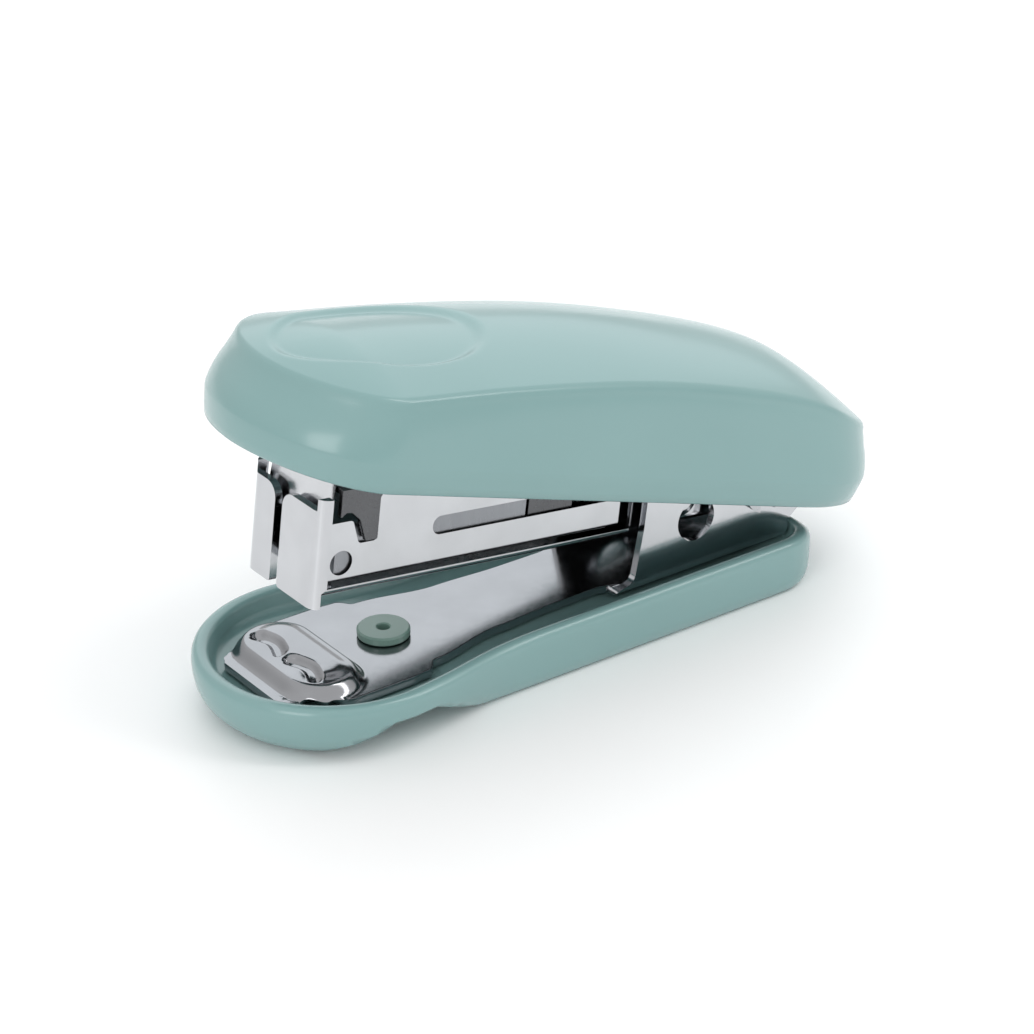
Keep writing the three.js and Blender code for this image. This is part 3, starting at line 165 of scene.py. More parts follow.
def scratch(shape, place):
    mesh = bpy.data.meshes.new("tool")
    mesh.from_pydata([place(v) for v in shape[0]], [], shape[1])
    bm = bmesh.new()
    bm.from_mesh(mesh)
    bmesh.ops.remove_doubles(bm, verts=bm.verts, dist=1e-8)
    bmesh.ops.recalc_face_normals(bm, faces=bm.faces)
    bm.to_mesh(mesh)
    bm.free()
    obj = bpy.data.objects.new("tool", mesh)
    bpy.context.scene.collection.objects.link(obj)
    return obj


def add_boolean(obj, operation, tool):
    mod = obj.modifiers.new("carve", "BOOLEAN")
    mod.operation = operation
    mod.solver = "EXACT"
    mod.object = tool


def bake(obj, tools):
    """Applies obj's modifiers to its mesh and removes the tools that they used."""
    graph = bpy.context.evaluated_depsgraph_get()
    mesh = bpy.data.meshes.new_from_object(obj.evaluated_get(graph))
    obj.modifiers.clear()
    old = obj.data
    obj.data = mesh
    bpy.data.meshes.remove(old)
    for tool in tools:
        data = tool.data
        bpy.data.objects.remove(tool)
        bpy.data.meshes.remove(data)


def carve(obj, place, steps):
    """Applies boolean steps, each (operation, shape), in order."""
    tools = []
    for operation, shape in steps:
        tool = scratch(shape, place)
        tools.append(tool)
        add_boolean(obj, operation, tool)
    bake(obj, tools)


def subtract(obj, tools):
    for tool in tools:
        add_boolean(obj, "DIFFERENCE", tool)
    bake(obj, tools)


# ---------- materials ----------

def material(name, build):
    mat = bpy.data.materials.new(name)
    mat.use_nodes = True
    tree = mat.node_tree
    build(tree, tree.nodes["Principled BSDF"])
    return mat


def node(tree, kind, **values):
    made = tree.nodes.new(kind)
    for key, value in values.items():
        if key in made.inputs:
            made.inputs[key].default_value = value
        else:
            setattr(made, key, value)
    return made


def noise(tree, scale, detail=3.0, roughness=0.5, stretch=(1, 1, 1)):
    where = node(tree, "ShaderNodeTexCoord")
    mapping = node(tree, "ShaderNodeMapping")
    mapping.inputs["Scale"].default_value = stretch
    made = node(tree, "ShaderNodeTexNoise")
    made.inputs["Scale"].default_value = scale
    made.inputs["Detail"].default_value = detail
    made.inputs["Roughness"].default_value = roughness
    tree.links.new(where.outputs["Object"], mapping.inputs["Vector"])
    tree.links.new(mapping.outputs["Vector"], made.inputs["Vector"])
    return made


def ramp(tree, source, low, high, stops=(0.35, 0.65)):
    made = node(tree, "ShaderNodeValToRGB")
    made.color_ramp.elements[0].position = stops[0]
    made.color_ramp.elements[1].position = stops[1]
    made.color_ramp.elements[0].color = low if len(low) == 4 else (*low, 1)
    made.color_ramp.elements[1].color = high if len(high) == 4 else (*high, 1)
    tree.links.new(source, made.inputs["Fac"])
    return made


def vary(tree, source, low, high):
    made = node(tree, "ShaderNodeMapRange")
    made.inputs["From Min"].default_value = 0.3
    made.inputs["From Max"].default_value = 0.7
    made.inputs["To Min"].default_value = low
    made.inputs["To Max"].default_value = high
    tree.links.new(source, made.inputs["Value"])
    return made


def bump(tree, shader, source, distance, strength=1.0):
    made = node(tree, "ShaderNodeBump")
    made.inputs["Strength"].default_value = strength
    made.inputs["Distance"].default_value = distance
    tree.links.new(source, made.inputs["Height"])
    tree.links.new(made.outputs["Normal"], shader.inputs["Normal"])
    return made


def plastic(low, high, rough):
    def build(tree, shader):
        cloud = noise(tree, 60, 2)
        grain = noise(tree, 1500, 2)
        tone = ramp(tree, cloud.outputs["Fac"], low, high)
        tree.links.new(tone.outputs["Color"], shader.inputs["Base Color"])
        wear = vary(tree, cloud.outputs["Fac"], rough - 0.02, rough + 0.03)
        tree.links.new(wear.outputs["Result"], shader.inputs["Roughness"])
        shader.inputs["IOR"].default_value = 1.5
        shader.inputs["Coat Weight"].default_value = 0.25
        shader.inputs["Coat Roughness"].default_value = 0.12
        bump(tree, shader, grain.outputs["Fac"], 0.000002, 0.2)
    return build


def metal(tint, rough_low, rough_high, wave=0.000012, stretch=(1, 1, 1)):
    def build(tree, shader):
        broad = noise(tree, 220, 3, 0.5, stretch)
        fine = noise(tree, 2200, 3, 0.6, stretch)
        dark = tuple(c * 0.93 for c in tint)
        tone = ramp(tree, broad.outputs["Fac"], dark, tint)
        tree.links.new(tone.outputs["Color"], shader.inputs["Base Color"])
        shader.inputs["Metallic"].default_value = 1.0
        rough = vary(tree, fine.outputs["Fac"], rough_low, rough_high)
        tree.links.new(rough.outputs["Result"], shader.inputs["Roughness"])
        bump(tree, shader, broad.outputs["Fac"], wave, 0.5)
    return build


MINT = material("mint plastic", plastic((0.205, 0.352, 0.348), (0.213, 0.362, 0.358), 0.24))
MINT_DISC = material("mint plastic disc", plastic((0.155, 0.262, 0.225), (0.165, 0.275, 0.236), 0.34))
CHROME = material("bright plated sheet", metal((0.60, 0.61, 0.63), 0.10, 0.16))
# The anvil plate is the same plated steel as the ears, darkened as painted shade against the top light.
PLATE_METAL_IN_PAINTED_SHADE = material("plated anvil sheet in painted shade", metal((0.33, 0.335, 0.35), 0.12, 0.18))
SHEET_METAL = material("satin plated sheet", metal((0.66, 0.67, 0.69), 0.16, 0.22))
# Steel darkened as painted shade for the pieces that sit inside the magazine.
STEEL_IN_PAINTED_SHADE = material("inner steel in painted shade", metal((0.13, 0.132, 0.138), 0.22, 0.3))
SPRING_STEEL = material("spring steel", metal((0.52, 0.53, 0.55), 0.2, 0.3))
# Staple wire darkened as painted shade, as the strip lies inside the magazine.
STAPLE_WIRE_IN_PAINTED_SHADE = material("staple wire in painted shade", metal((0.30, 0.31, 0.33), 0.26, 0.36, 0.000008, (0.2, 3, 0.2)))

SLOTS = {"mint_plastic": MINT, "plated_steel": CHROME, "spring_steel": SPRING_STEEL, "staple_wire": STAPLE_WIRE_IN_PAINTED_SHADE}
NODE_MATERIALS = {"base_rivet": MINT_DISC, "driver_guide": STEEL_IN_PAINTED_SHADE, "staple_rail": STEEL_IN_PAINTED_SHADE,
                  "pusher": STEEL_IN_PAINTED_SHADE, "driver_blade": SHEET_METAL}
for subpart in frame["record"]["subparts"]:
    name = subpart["node"]
    obj = frame["nodes"][name]
    obj.data.materials.clear()
    obj.data.materials.append(NODE_MATERIALS.get(name, SLOTS[subpart["material_slot"]]))


# ---------- the tray ----------

TRAY_FRONT_RADIUS, TRAY_HALF_WIDTH = 11.6, 9.7
TRAY_REAR, TRAY_CORNER, TRAY_PARALLEL_FROM = 46.2, 4.8, 15.0
RIM, WALL, FLOOR = 5.1, 1.5, 2.9
RIM_DIP = 1.6                      # of the rim behind the ears
PLATE_REAR = TRAY_REAR - 1.8 - 0.3
POCKET_WALL, POCKET_DEPTH, POCKET_CORNER = 3.4, 1.2, 2
RIVET_Y, RIVET_HOLE_RADIUS = 5.1, 1.4
PIN_HOLE_RADIUS = 1.36


def bezier(a, b, c, d, t):
    return a * (1 - t) ** 3 + b * 3 * t * (1 - t) ** 2 + c * 3 * t * t * (1 - t) + d * t ** 3


def tray_outline(front, tail):
    radius, half, rear = TRAY_FRONT_RADIUS - front, TRAY_HALF_WIDTH - tail, TRAY_REAR - tail
    corner = max(TRAY_CORNER - tail, 1.0)
    lead = 0.1
    side = [Vector((radius * math.sin((math.pi / 2 + lead) * k / 36),
                    -radius * math.cos((math.pi / 2 + lead) * k / 36))) for k in range(37)]
    leave = side[-1]
    tangent = Vector((-math.sin(lead), math.cos(lead)))
    span = TRAY_PARALLEL_FROM - leave.y
    points = (leave, leave + tangent * span * 0.43, Vector((half, TRAY_PARALLEL_FROM - span * 0.46)),
              Vector((half, TRAY_PARALLEL_FROM)))
    side += [bezier(*points, k / 16) for k in range(1, 17)]
    end = rear - corner
    side += [Vector((half, TRAY_PARALLEL_FROM + (end - TRAY_PARALLEL_FROM) * k / 16)) for k in range(1, 17)]
    side += [Vector((half - corner + corner * math.cos(math.pi / 2 * k / 14),
                     end + corner * math.sin(math.pi / 2 * k / 14))) for k in range(1, 15)]
    side += [Vector((max(half - corner, 0) * (1 - k / 5), rear)) for k in range(1, 6)]
    return side + [Vector((-p.x, p.y)) for p in side[-2:0:-1]]


def tray_ring(front, tail, z, dip=0.0):
    start = PLATE_REAR - 0.9
    out = []
    for p in tray_outline(front, tail):
        t = max(0.0, min(1.0, (p.y - start) / (TRAY_REAR - start)))
        out.append((p.x, p.y, z - dip * RIM_DIP * (1 - math.sqrt(1 - t * t))))
    return out


def tray_spine(ring):
    return [(0.0, max(0.0, min(TRAY_REAR - TRAY_HALF_WIDTH, p[1])), p[2]) for p in ring]


def arch_tool():
    ground, roof = tray_ring(-1, -1, -1), tray_ring(2.4, 2.2, 2.0)
    return loft([tray_spine(ground), ground, tray_ring(-1, -1, 3.2), tray_ring(0.6, 0.4, 3.2), roof,
                 tray_spine(roof)])


def build_tray():
    sole, floor = tray_ring(2.9, 0.95, 0), tray_ring(WALL + 0.9, WALL + 0.3, FLOOR)
    skin = [
        sole, tray_ring(2.3, 0.7, 0.12), tray_ring(1.7, 0.42, 0.45), tray_ring(1.25, 0.24, 0.8),
        tray_ring(0.88, 0.13, 1.2), tray_ring(0.55, 0.07, 1.6), tray_ring(0.2, 0.03, 2.4),
        tray_ring(0.04, 0.0, 3.3, 0.35), tray_ring(0, 0, 4.1, 0.6), tray_ring(0.04, 0.04, 4.5, 0.8),
        tray_ring(0.14, 0.14, 4.78, 0.9), tray_ring(0.32, 0.32, 4.99, 0.97), tray_ring(0.56, 0.56, RIM, 1),
        tray_ring(0.86, 0.86, RIM + 0.01, 1), tray_ring(WALL - 0.38, WALL - 0.38, RIM - 0.06, 1),
        tray_ring(WALL - 0.14, WALL - 0.14, RIM - 0.2, 0.96), tray_ring(WALL, WALL, RIM - 0.5, 0.9),
        tray_ring(WALL + 0.14, WALL + 0.1, 3.7, 0.5), tray_ring(WALL + 0.4, WALL + 0.2, 3.2, 0.15), floor,
    ]
    verts, faces = loft([tray_spine(sole), *skin, tray_spine(floor)])
    tray = make("tray_shell", verts, faces, place_base, MINT, "base", "mint_plastic", ["base_cover"])
    half = TRAY_HALF_WIDTH - POCKET_WALL
    pocket_outline = rounded([(-half, 14.2, POCKET_CORNER), (half, 14.2, POCKET_CORNER),
                              (half, 40.2, POCKET_CORNER), (-half, 40.2, POCKET_CORNER)])
    side = rounded([(-9.5, -1), (11.2, -1), (2.4, 3.3, 1.6), (-1.3, 3.3, 1.6)], 8)
    arch = scratch(prism(side, -14, 14, "x"), place_base)
    carve(arch, place_base, [("INTERSECT", arch_tool())])
    pocket = scratch(prism(pocket_outline, -1, POCKET_DEPTH, "z"), place_base)
    socket = scratch(prism(circle(0, RIVET_Y, RIVET_HOLE_RADIUS), -1, 4, "z"), place_base)
    subtract(tray, [arch, pocket, socket])
    return tray


tray = build_tray()


# ---------- the handle's cover ----------

COVER_FRONT, COVER_REAR, COVER_HALF = 52.9, 12.2, 11.7
NOSE, NOSE_POWER, TAIL, TAIL_POWER = 8.6, 1.85, 11.6, 2.35
TOP_INSET, EDGE_TUCK, CROWN, COVER_WALL = 1.12, 0.47, 2.4, 1.2
NOSE_LEAN, TAIL_LEAN, BRIM, PIVOT_LIFT = 0.65, 0.25, 0.35, 0.25
BAND_HEIGHT = 2.4
RECESS_MIDDLE, RECESS_HALF_LENGTH, RECESS_HALF_WIDTH = -40.9, 9.4, 6.9
RECESS_TAPER, RECESS_DEPTH, RECESS_SLOPE = 0.1, 0.5, 0.13
NOSE_STEPS, SIDE_STEPS, ROOF_STEPS = 24, 110, 56
SHOULDER = ((0, 6.4), (0.11, 7.0), (0.285, 8.5), (0.475, 9.6), (0.63, 9.7), (0.79, 9.0), (0.9, 7.2),
            (0.965, 6.0), (1, 4.6))


def shoulder_height(y):
    share = max(0.0, min(1.0, (y + COVER_FRONT) / (COVER_FRONT + COVER_REAR)))
    k = next((i for i, (at, _) in enumerate(SHOULDER) if at >= share and i > 0), len(SHOULDER) - 1)

    def slope(i):
        (a, p), (b, q) = SHOULDER[max(i - 1, 0)], SHOULDER[min(i + 1, len(SHOULDER) - 1)]
        return (q - p) / (b - a)
    (x0, low), (x1, high) = SHOULDER[k - 1], SHOULDER[k]
    span = x1 - x0
    t = (share - x0) / span
    return ((2 * t ** 3 - 3 * t ** 2 + 1) * low + (t ** 3 - 2 * t ** 2 + t) * span * slope(k - 1)
            + (3 * t ** 2 - 2 * t ** 3) * high + (t ** 3 - t ** 2) * span * slope(k))


def cover_outline(inset, lean):
    half = COVER_HALF - inset
    front, rear = -COVER_FRONT + inset + lean * NOSE_LEAN, COVER_REAR - inset - lean * TAIL_LEAN
    nose_end, tail_start = -COVER_FRONT + NOSE, COVER_REAR - TAIL
    side = []
    for k in range(NOSE_STEPS + 1):
        t = math.pi / 2 * k / NOSE_STEPS
        side.append((half * math.sin(t) ** (2 / NOSE_POWER),
                     nose_end - (nose_end - front) * math.cos(t) ** (2 / NOSE_POWER)))
    side += [(half, nose_end + (tail_start - nose_end) * k / SIDE_STEPS) for k in range(1, SIDE_STEPS + 1)]
    for k in range(1, NOSE_STEPS + 1):
        t = math.pi / 2 * k / NOSE_STEPS
        side.append((half * max(math.cos(t), 0) ** (2 / TAIL_POWER),
                     tail_start + (rear - tail_start) * math.sin(t) ** (2 / TAIL_POWER)))
    return side + [(-x, y) for x, y in side[-2:0:-1]]


def smooth_step(t):
    t = max(0.0, min(1.0, t))
    return t * t * (3 - 2 * t)


def thumb_dish(x, y):
    """Depth of the egg-shaped thumb recess; its narrow end faces the nose."""
    along = (y - RECESS_MIDDLE) / RECESS_HALF_LENGTH
    width = RECESS_HALF_WIDTH * (1 + RECESS_TAPER * along)
    d = math.sqrt(along * along + (x / width) ** 2)
    return RECESS_DEPTH * smooth_step((1.0 - d) / RECESS_SLOPE)


def cover_ring(inset, lean, spread, rise, dish=0.0):
    spine_from, spine_to = -COVER_FRONT + NOSE, COVER_REAR - TAIL
    ring = []
    for x, y in cover_outline(inset, lean):
        anchor = max(spine_from, min(spine_to, y))
        px, py = x * spread, anchor + (y - anchor) * spread
        ring.append((px, py, rise(shoulder_height(py)) - PIVOT_LIFT - dish * thumb_dish(px, py)))
    return ring


def between(share, wall):
    """Height of a ring this share of the way from the band's crease to just under the shoulder."""
    def rise(h):
        top = max(h - wall - 1.4, BAND_HEIGHT + 0.3)
        return BAND_HEIGHT + 0.1 + (top - BAND_HEIGHT - 0.1) * share
    return rise


def cover_skin(wall, dish):
    top, brim = TOP_INSET + wall, BRIM - wall
    rings = []
    for k in range(ROOF_STEPS + 1):
        spread = 0.97 * k / ROOF_STEPS
        crown = CROWN * (1 - spread ** 1.8)
        rings.append(cover_ring(top, 1, spread, lambda h, c=crown: h + brim + c, dish))
    rings += [
        cover_ring(top - 0.02, 1, 0.99, lambda h: h - wall + 0.3),
        cover_ring(top - 0.05, 0.97, 1, lambda h: h - wall + 0.05),
        cover_ring(top - 0.12, 0.93, 1, lambda h: h - wall - 0.3),
        cover_ring(top - 0.27, 0.84, 1, lambda h: h - wall - 0.75),
        cover_ring(top - 0.47, 0.68, 1, lambda h: max(h - wall - 1.4, BAND_HEIGHT + 0.3)),
        cover_ring(0.4 + wall, 0.42, 1, between(0.75, wall)),
        cover_ring(0.22 + wall, 0.22, 1, between(0.5, wall)),
        cover_ring(0.08 + wall, 0.08, 1, between(0.25, wall)),
        cover_ring(wall, 0, 1, lambda h: BAND_HEIGHT + 0.1),
        cover_ring(wall, 0, 1, lambda h: BAND_HEIGHT - 0.1),
        cover_ring(wall + 0.1, 0, 1, lambda h: 1.7),
        cover_ring(wall + 0.28, 0, 1, lambda h: 0.8),
    ]
    return rings


def build_cover():
    rings = cover_skin(COVER_WALL, 0.9)
    rings += [cover_ring(EDGE_TUCK + COVER_WALL - 0.05, 0, 1, lambda h: 0.12),
              cover_ring(EDGE_TUCK + COVER_WALL - 0.25, 0, 1, lambda h: 0),
              cover_ring(EDGE_TUCK + 0.25, 0, 1, lambda h: 0),
              cover_ring(EDGE_TUCK, 0, 1, lambda h: 0.15)]
    rings += cover_skin(0, 1)[::-1]
    cover = make("cover_shell", *loft(rings), place_handle, MINT, "handle", "mint_plastic", ["handle_cover"])
    for name, y in (("cover_front_rib", -COVER_FRONT + 15), ("cover_rear_rib", -COVER_FRONT + 40)):
        shape = block(-3.8, 3.8, y, y + 1.2, 6.0, shoulder_height(y) + 1.2)
        rib = make(name, *shape, place_handle, MINT, "handle", "mint_plastic", (), False)
        bevel(rib, 0.15, 2)
    return cover


cover = build_cover()


# ---------- base plate ----------

PLATE_LOW, PLATE_TOP, SHEET = 3.2, 3.9, 0.7
EAR_IN, EAR_OUT = 5.3, 6.0


def profile(points):
    """A smooth curve through (position, value) points, flat at its ends."""
    def value(at):
        if at <= points[0][0]:
            return points[0][1]
        for (a, p), (b, q) in zip(points, points[1:]):
            if at <= b:
                return p + (q - p) * smooth_step((at - a) / (b - a))
        return points[-1][1]
    return value


def stadium(x, y, cx, cy, half_length, half_depth):
    """Distance outside a stadium's edge, negative inside."""
    dx = max(abs(x - cx) - (half_length - half_depth), 0)
    return math.hypot(dx, y - cy) - half_depth


def plate_height(x, y):
    pad = stadium(x, y, 0, -3.35, 7.0, 3.95)
    z = 1.15 * smooth_step(-pad / 1.3)
    z += 0.3 * smooth_step(-stadium(x, y, 0, -3.0, 5.7, 2.35) / 1.3)
    for sx in (-1, 1):
        groove = stadium(x, y, sx * 2.6, -4.3 + 0.25 * math.cos((x - sx * 2.6) * 1.3), 2.3, 0.62)
        z -= 0.62 * smooth_step((0.2 - groove) / 0.6)
    z += 0.05 * smooth_step(1 - abs(y + 7.25) / 0.25) * (1 if abs(x) < 4 else 0)
    return z


# Half-width of the plate along Y: tongue, shoulders, waist and the part between the ears
PLATE_FROM, PLATE_TO = -8.0, 44.1
plate_half = profile([
    (PLATE_FROM, 3.9), (-7.5, 4.75), (-6.5, 5.2), (-4.6, 6.6), (-2.4, 7.3), (2.8, 7.3), (4.9, 7.1),
    (6.1, 5.95), (13.5, 4.5), (20, 4.1), (24.3, 4.05), (27.6, 5.2), (43.6, 5.2), (PLATE_TO, 4.8),
])


def build_plate():
    rows, cols = [], 72
    y = PLATE_FROM
    while y < PLATE_TO:
        rows.append(y)
        y += 0.16 if y < 1.4 else (0.25 if y < 7 else 0.6)
    rows.append(PLATE_TO)
    verts, faces = [], []
    for y in rows:
        w = plate_half(y)
        for c in range(cols + 1):
            x = -w + 2 * w * c / cols
            z = plate_height(x, y) if y < 2 else 0.0
            verts.append((x, y, PLATE_TOP + z))
    n = cols + 1
    for k in range(len(rows) - 1):
        faces += [(k * n + c, k * n + c + 1, (k + 1) * n + c + 1, (k + 1) * n + c) for c in range(cols)]
    plate = make("anvil_plate", verts, faces, place_base, PLATE_METAL_IN_PAINTED_SHADE, "base", "plated_steel", ["base_plate"])
    thick = plate.modifiers.new("sheet", "SOLIDIFY")
    thick.thickness = SHEET * MM
    thick.offset = -1
    subtract(plate, [scratch(prism(circle(0, RIVET_Y, RIVET_HOLE_RADIUS), 2, 5, "z"), place_base)])
    bevel(plate, 0.1, 2, 50)
    return plate


def build_ears():
    top = PIVOT_Z + 6
    section = rounded([(-EAR_OUT, PLATE_LOW + 0.02, 1.3), (EAR_OUT, PLATE_LOW + 0.02, 1.3), (EAR_OUT, top),
                       (EAR_IN, top), (EAR_IN, PLATE_TOP - 0.02, 0.6), (-EAR_IN, PLATE_TOP - 0.02, 0.6),
                       (-EAR_IN, top), (-EAR_OUT, top)], 10)
    ears = make("plate_ears", *prism(section, 24, 49, "y"), place_base, CHROME, "base", "plated_steel")
    outline = rounded([(25.2, 2), (PLATE_REAR, 2), (PLATE_REAR, RIM + 0.1, 0.3),
                       (PLATE_REAR + 1.4, RIM + 1.2, 0.3), (PLATE_REAR + 1.4, PIVOT_Z + 4, 3.4),
                       (28.5, PIVOT_Z + 4, 1.6), (27.9, PIVOT_Z - 0.4, 3),
                       (26.9, PLATE_TOP + 0.5, 1.2), (25.2, PLATE_TOP, 0.6)], 12)
    carve(ears, place_base, [("INTERSECT", prism(outline, -9, 9, "x"))])
    subtract(ears, [scratch(prism(circle(PIVOT_Y, PIVOT_Z, PIN_HOLE_RADIUS), -9, 9, "x"), place_base),
                    scratch(prism(circle(33.6, 8.4, 2.0, 56), -9, 9, "x"), place_base)])
    return bevel(ears, 0.12, 3, 40)


plate = build_plate()
ears = build_ears()


# ---------- magazine: Y from the pivot, Z from the pivot ----------

MAG_FRONT, MAG_FLOOR = -45.8, -2.9
MAG_HALF, MAG_INNER_HALF, MAG_REAR_HALF = 5.1, 4.4, 4.7
FLAP_DROP, FLAP_TOP, FLAP_SLIT = 1.05, 7.4, (-1.425, -0.375)


def my(behind):
    return MAG_FRONT + behind


def mz(above):
    return MAG_FLOOR + above


def channel(half, top, corner):
    inner = half - SHEET
    return rounded([(-half, MAG_FLOOR, corner), (half, MAG_FLOOR, corner), (half, top), (inner, top),
                    (inner, MAG_FLOOR + SHEET, 0.35), (-inner, MAG_FLOOR + SHEET, 0.35), (-inner, top),
                    (-half, top)], 7)


def front_flap(outer, edge):
    """A flap from the side wall to the slit's edge, with a large radius at the top of the slit."""
    low, high = mz(-FLAP_DROP), mz(FLAP_TOP)
    left, right = sorted((outer, edge))
    corners = [(left, low, 0.3), (right, low, 0.3), (right, high, 1.3 if right == edge else 0.3),
               (left, high, 1.3 if left == edge else 0.3)]
    return prism(rounded(corners, 8), MAG_FRONT, MAG_FRONT + SHEET, "y")


def build_magazine():
    top, narrows, tail = mz(9.4), my(31.9), 3.9
    front_channel = prism(channel(MAG_HALF, top, 0.7), MAG_FRONT, narrows, "y")
    obj = make("magazine_body", *front_channel, place_magazine, CHROME, "magazine", "plated_steel",
               ["magazine"])
    side = rounded([(MAG_FRONT - 1, MAG_FLOOR - 1), (my(40), MAG_FLOOR - 1), (my(41), MAG_FLOOR, 1),
                    (tail - 1, MAG_FLOOR, 2.7), (tail - 1, 2.9, 2.6), (my(37), 3.5, 4), (my(30), mz(8.4), 4),
                    (MAG_FRONT - 1, mz(8.4))], 10)
    flaps = [front_flap(-MAG_HALF, FLAP_SLIT[0]), front_flap(MAG_HALF, FLAP_SLIT[1])]
    plan = rounded([(-MAG_HALF, MAG_FRONT, 1.15), (MAG_HALF, MAG_FRONT, 1.15), (MAG_HALF, 8),
                    (-MAG_HALF, 8)], 10)
    notch = rounded([(my(1.15), mz(11)), (my(1.15), mz(6.0), 0.2), (my(3.65), mz(6.0), 0.35),
                     (my(4.35), mz(3.9), 0.4), (my(6.15), mz(3.9), 0.4), (my(6.15), mz(7.7), 0.4),
                     (my(7.05), mz(8.4), 0.4), (my(7.05), mz(11))], 8)
    slit = block(*FLAP_SLIT, MAG_FRONT - 1, MAG_FRONT + SHEET + 0.05, MAG_FLOOR - 3, mz(12))
    window = rounded([(my(11.6), mz(3.3), 0.78), (my(31), mz(3.3), 0.78), (my(31), mz(4.95), 0.78),
                      (my(11.6), mz(4.95), 0.78)], 10)
    carve(obj, place_magazine, [
        ("UNION", prism(channel(MAG_REAR_HALF, top, 0.7), narrows - SHEET, tail, "y")),
        ("INTERSECT", prism(side, -8, 8, "x")),
        ("DIFFERENCE", block(-3.99, 3.99, my(36), tail + 1, MAG_FLOOR - 1, MAG_FLOOR + 1.3)),
        ("DIFFERENCE", block(-MAG_INNER_HALF, MAG_INNER_HALF, MAG_FRONT - 1, MAG_FRONT + SHEET,
                             MAG_FLOOR - 1, mz(12))),
        ("UNION", flaps[0]),
        ("UNION", flaps[1]),
        ("INTERSECT", prism(plan, MAG_FLOOR - 3, mz(9.4), "z")),
        ("DIFFERENCE", block(-MAG_INNER_HALF, MAG_INNER_HALF, MAG_FRONT + SHEET, my(2),
                             MAG_FLOOR - 2, MAG_FLOOR + 1.3)),
        ("DIFFERENCE", slit),
        ("DIFFERENCE", prism(notch, -8, 8, "x")),
        ("DIFFERENCE", prism(window, -8, 8, "x")),
        ("DIFFERENCE", prism(circle(my(2.8), mz(2.45), 1.06), -8, 8, "x")),
        ("DIFFERENCE", prism(circle(my(37.9), mz(2.2), 1.0), -8, 8, "x")),
        ("DIFFERENCE", prism(circle(0, 0, PIN_HOLE_RADIUS), -8, 8, "x")),
    ])
    return bevel(obj, 0.1, 3, 40)


magazine = build_magazine()


def build_guide():
    half = 4.85
    side = rounded([(my(2.1), mz(9)), (my(2.1), mz(6.5), 0.1), (my(2.6), mz(6.95), 0.4),
                    (my(3.15), mz(6.9), 0.5), (my(4.05), mz(6.1), 0.3), (my(4.7), mz(4.2), 0.2),
                    (my(5.85), mz(4.2), 0.2), (my(5.85), mz(9))], 8)
    obj = make("blade_guide", *prism(side, -half, half, "x"), place_magazine, STEEL_IN_PAINTED_SHADE, "magazine",
               "plated_steel", ["driver_guide"])
    carve(obj, place_magazine, [("DIFFERENCE", block(-half + 0.5, half - 0.5, my(0), my(8), mz(0), mz(8.5)))])
    return bevel(obj, 0.06, 2, 40)


guide = build_guide()


# ---------- camera, light and floor ----------

def add_area(name, where, aim, size, power, size_y=None, colour=(1, 1, 1)):
    data = bpy.data.lights.new(name, "AREA")
    data.shape = "RECTANGLE"
    data.size = size
    data.size_y = size_y or size
    data.energy = power
    data.color = colour
    obj = bpy.data.objects.new(name, data)
    bpy.context.scene.collection.objects.link(obj)
    obj.location = where
    obj.rotation_mode = "QUATERNION"
    obj.rotation_quaternion = (Vector(aim) - Vector(where)).to_track_quat("-Z", "Y")
    return obj


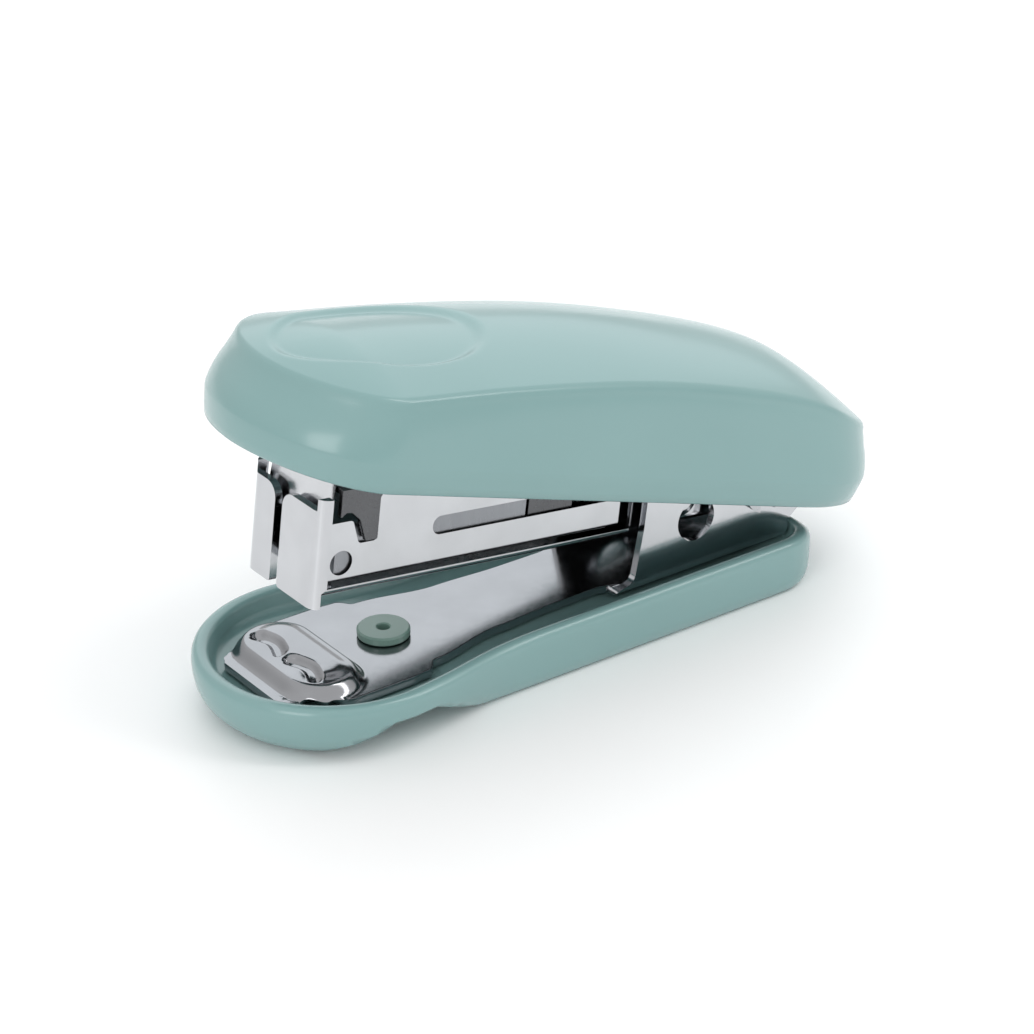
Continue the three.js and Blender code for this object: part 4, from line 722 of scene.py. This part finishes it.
AZIMUTH, ELEVATION, ROLL = 53.682, 27.161, -0.187
EYE = Vector((191.902, -122.147 + SHIFT, 132.852)) * MM
a, e, r = (math.radians(v) for v in (AZIMUTH, ELEVATION, ROLL))
back = Vector((math.sin(a) * math.cos(e), -math.cos(a) * math.cos(e), math.sin(e)))
right = Vector((math.cos(a), math.sin(a), 0))
up = Vector((-math.sin(a) * math.sin(e), math.cos(a) * math.sin(e), math.cos(e)))
rolled_right = math.cos(r) * right + math.sin(r) * up
rolled_up = -math.sin(r) * right + math.cos(r) * up
camera_data = bpy.data.cameras.new("camera")
camera_data.lens = 110.268
camera_data.sensor_width = 36
camera_data.clip_start = 0.01
camera_data.clip_end = 10
camera = bpy.data.objects.new("camera", camera_data)
bpy.context.scene.collection.objects.link(camera)
camera.matrix_world = Matrix.Translation(EYE) @ Matrix(
    (rolled_right, rolled_up, back)).transposed().to_4x4()
bpy.context.scene.camera = camera

add_area("key", (0.27, 0.30, 0.46), (0, 0, 0.02), 0.10, 0.7, 0.5)
add_area("top", (-0.42, 0.34, 0.42), (0, 0, 0.02), 0.7, 1.1, colour=(0.86, 0.95, 1))
add_area("front", (0.30, -0.62, 0.28), (0, 0, 0.02), 0.3, 0.9)

world = bpy.data.worlds.new("studio")
world.use_nodes = True
sky = world.node_tree
direction = node(sky, "ShaderNodeTexCoord")
parts = node(sky, "ShaderNodeSeparateXYZ")
height = node(sky, "ShaderNodeMapRange")
height.inputs["From Min"].default_value = 0.0
height.inputs["From Max"].default_value = 0.6
height.inputs["To Min"].default_value = 0.6
height.inputs["To Max"].default_value = 0.95
sky.links.new(direction.outputs["Generated"], parts.inputs["Vector"])
sky.links.new(parts.outputs["Z"], height.inputs["Value"])
sky.nodes["Background"].inputs["Color"].default_value = (1, 1, 1, 1)
sky.links.new(height.outputs["Result"], sky.nodes["Background"].inputs["Strength"])
bpy.context.scene.world = world
bpy.context.scene.view_settings.view_transform = "Standard"


def pale_table(tree, shader):
    cloud = noise(tree, 40)
    tone = ramp(tree, cloud.outputs["Fac"], (0.97, 0.97, 0.97), (0.985, 0.985, 0.985))
    tree.links.new(tone.outputs["Color"], shader.inputs["Base Color"])


floor_mesh = bpy.data.meshes.new("floor")
floor_mesh.from_pydata([(-3, -3, 0), (3, -3, 0), (3, 3, 0), (-3, 3, 0)], [], [(0, 1, 2, 3)])
floor = bpy.data.objects.new("floor", floor_mesh)
bpy.context.scene.collection.objects.link(floor)
floor_mesh.materials.append(material("pale table", pale_table))
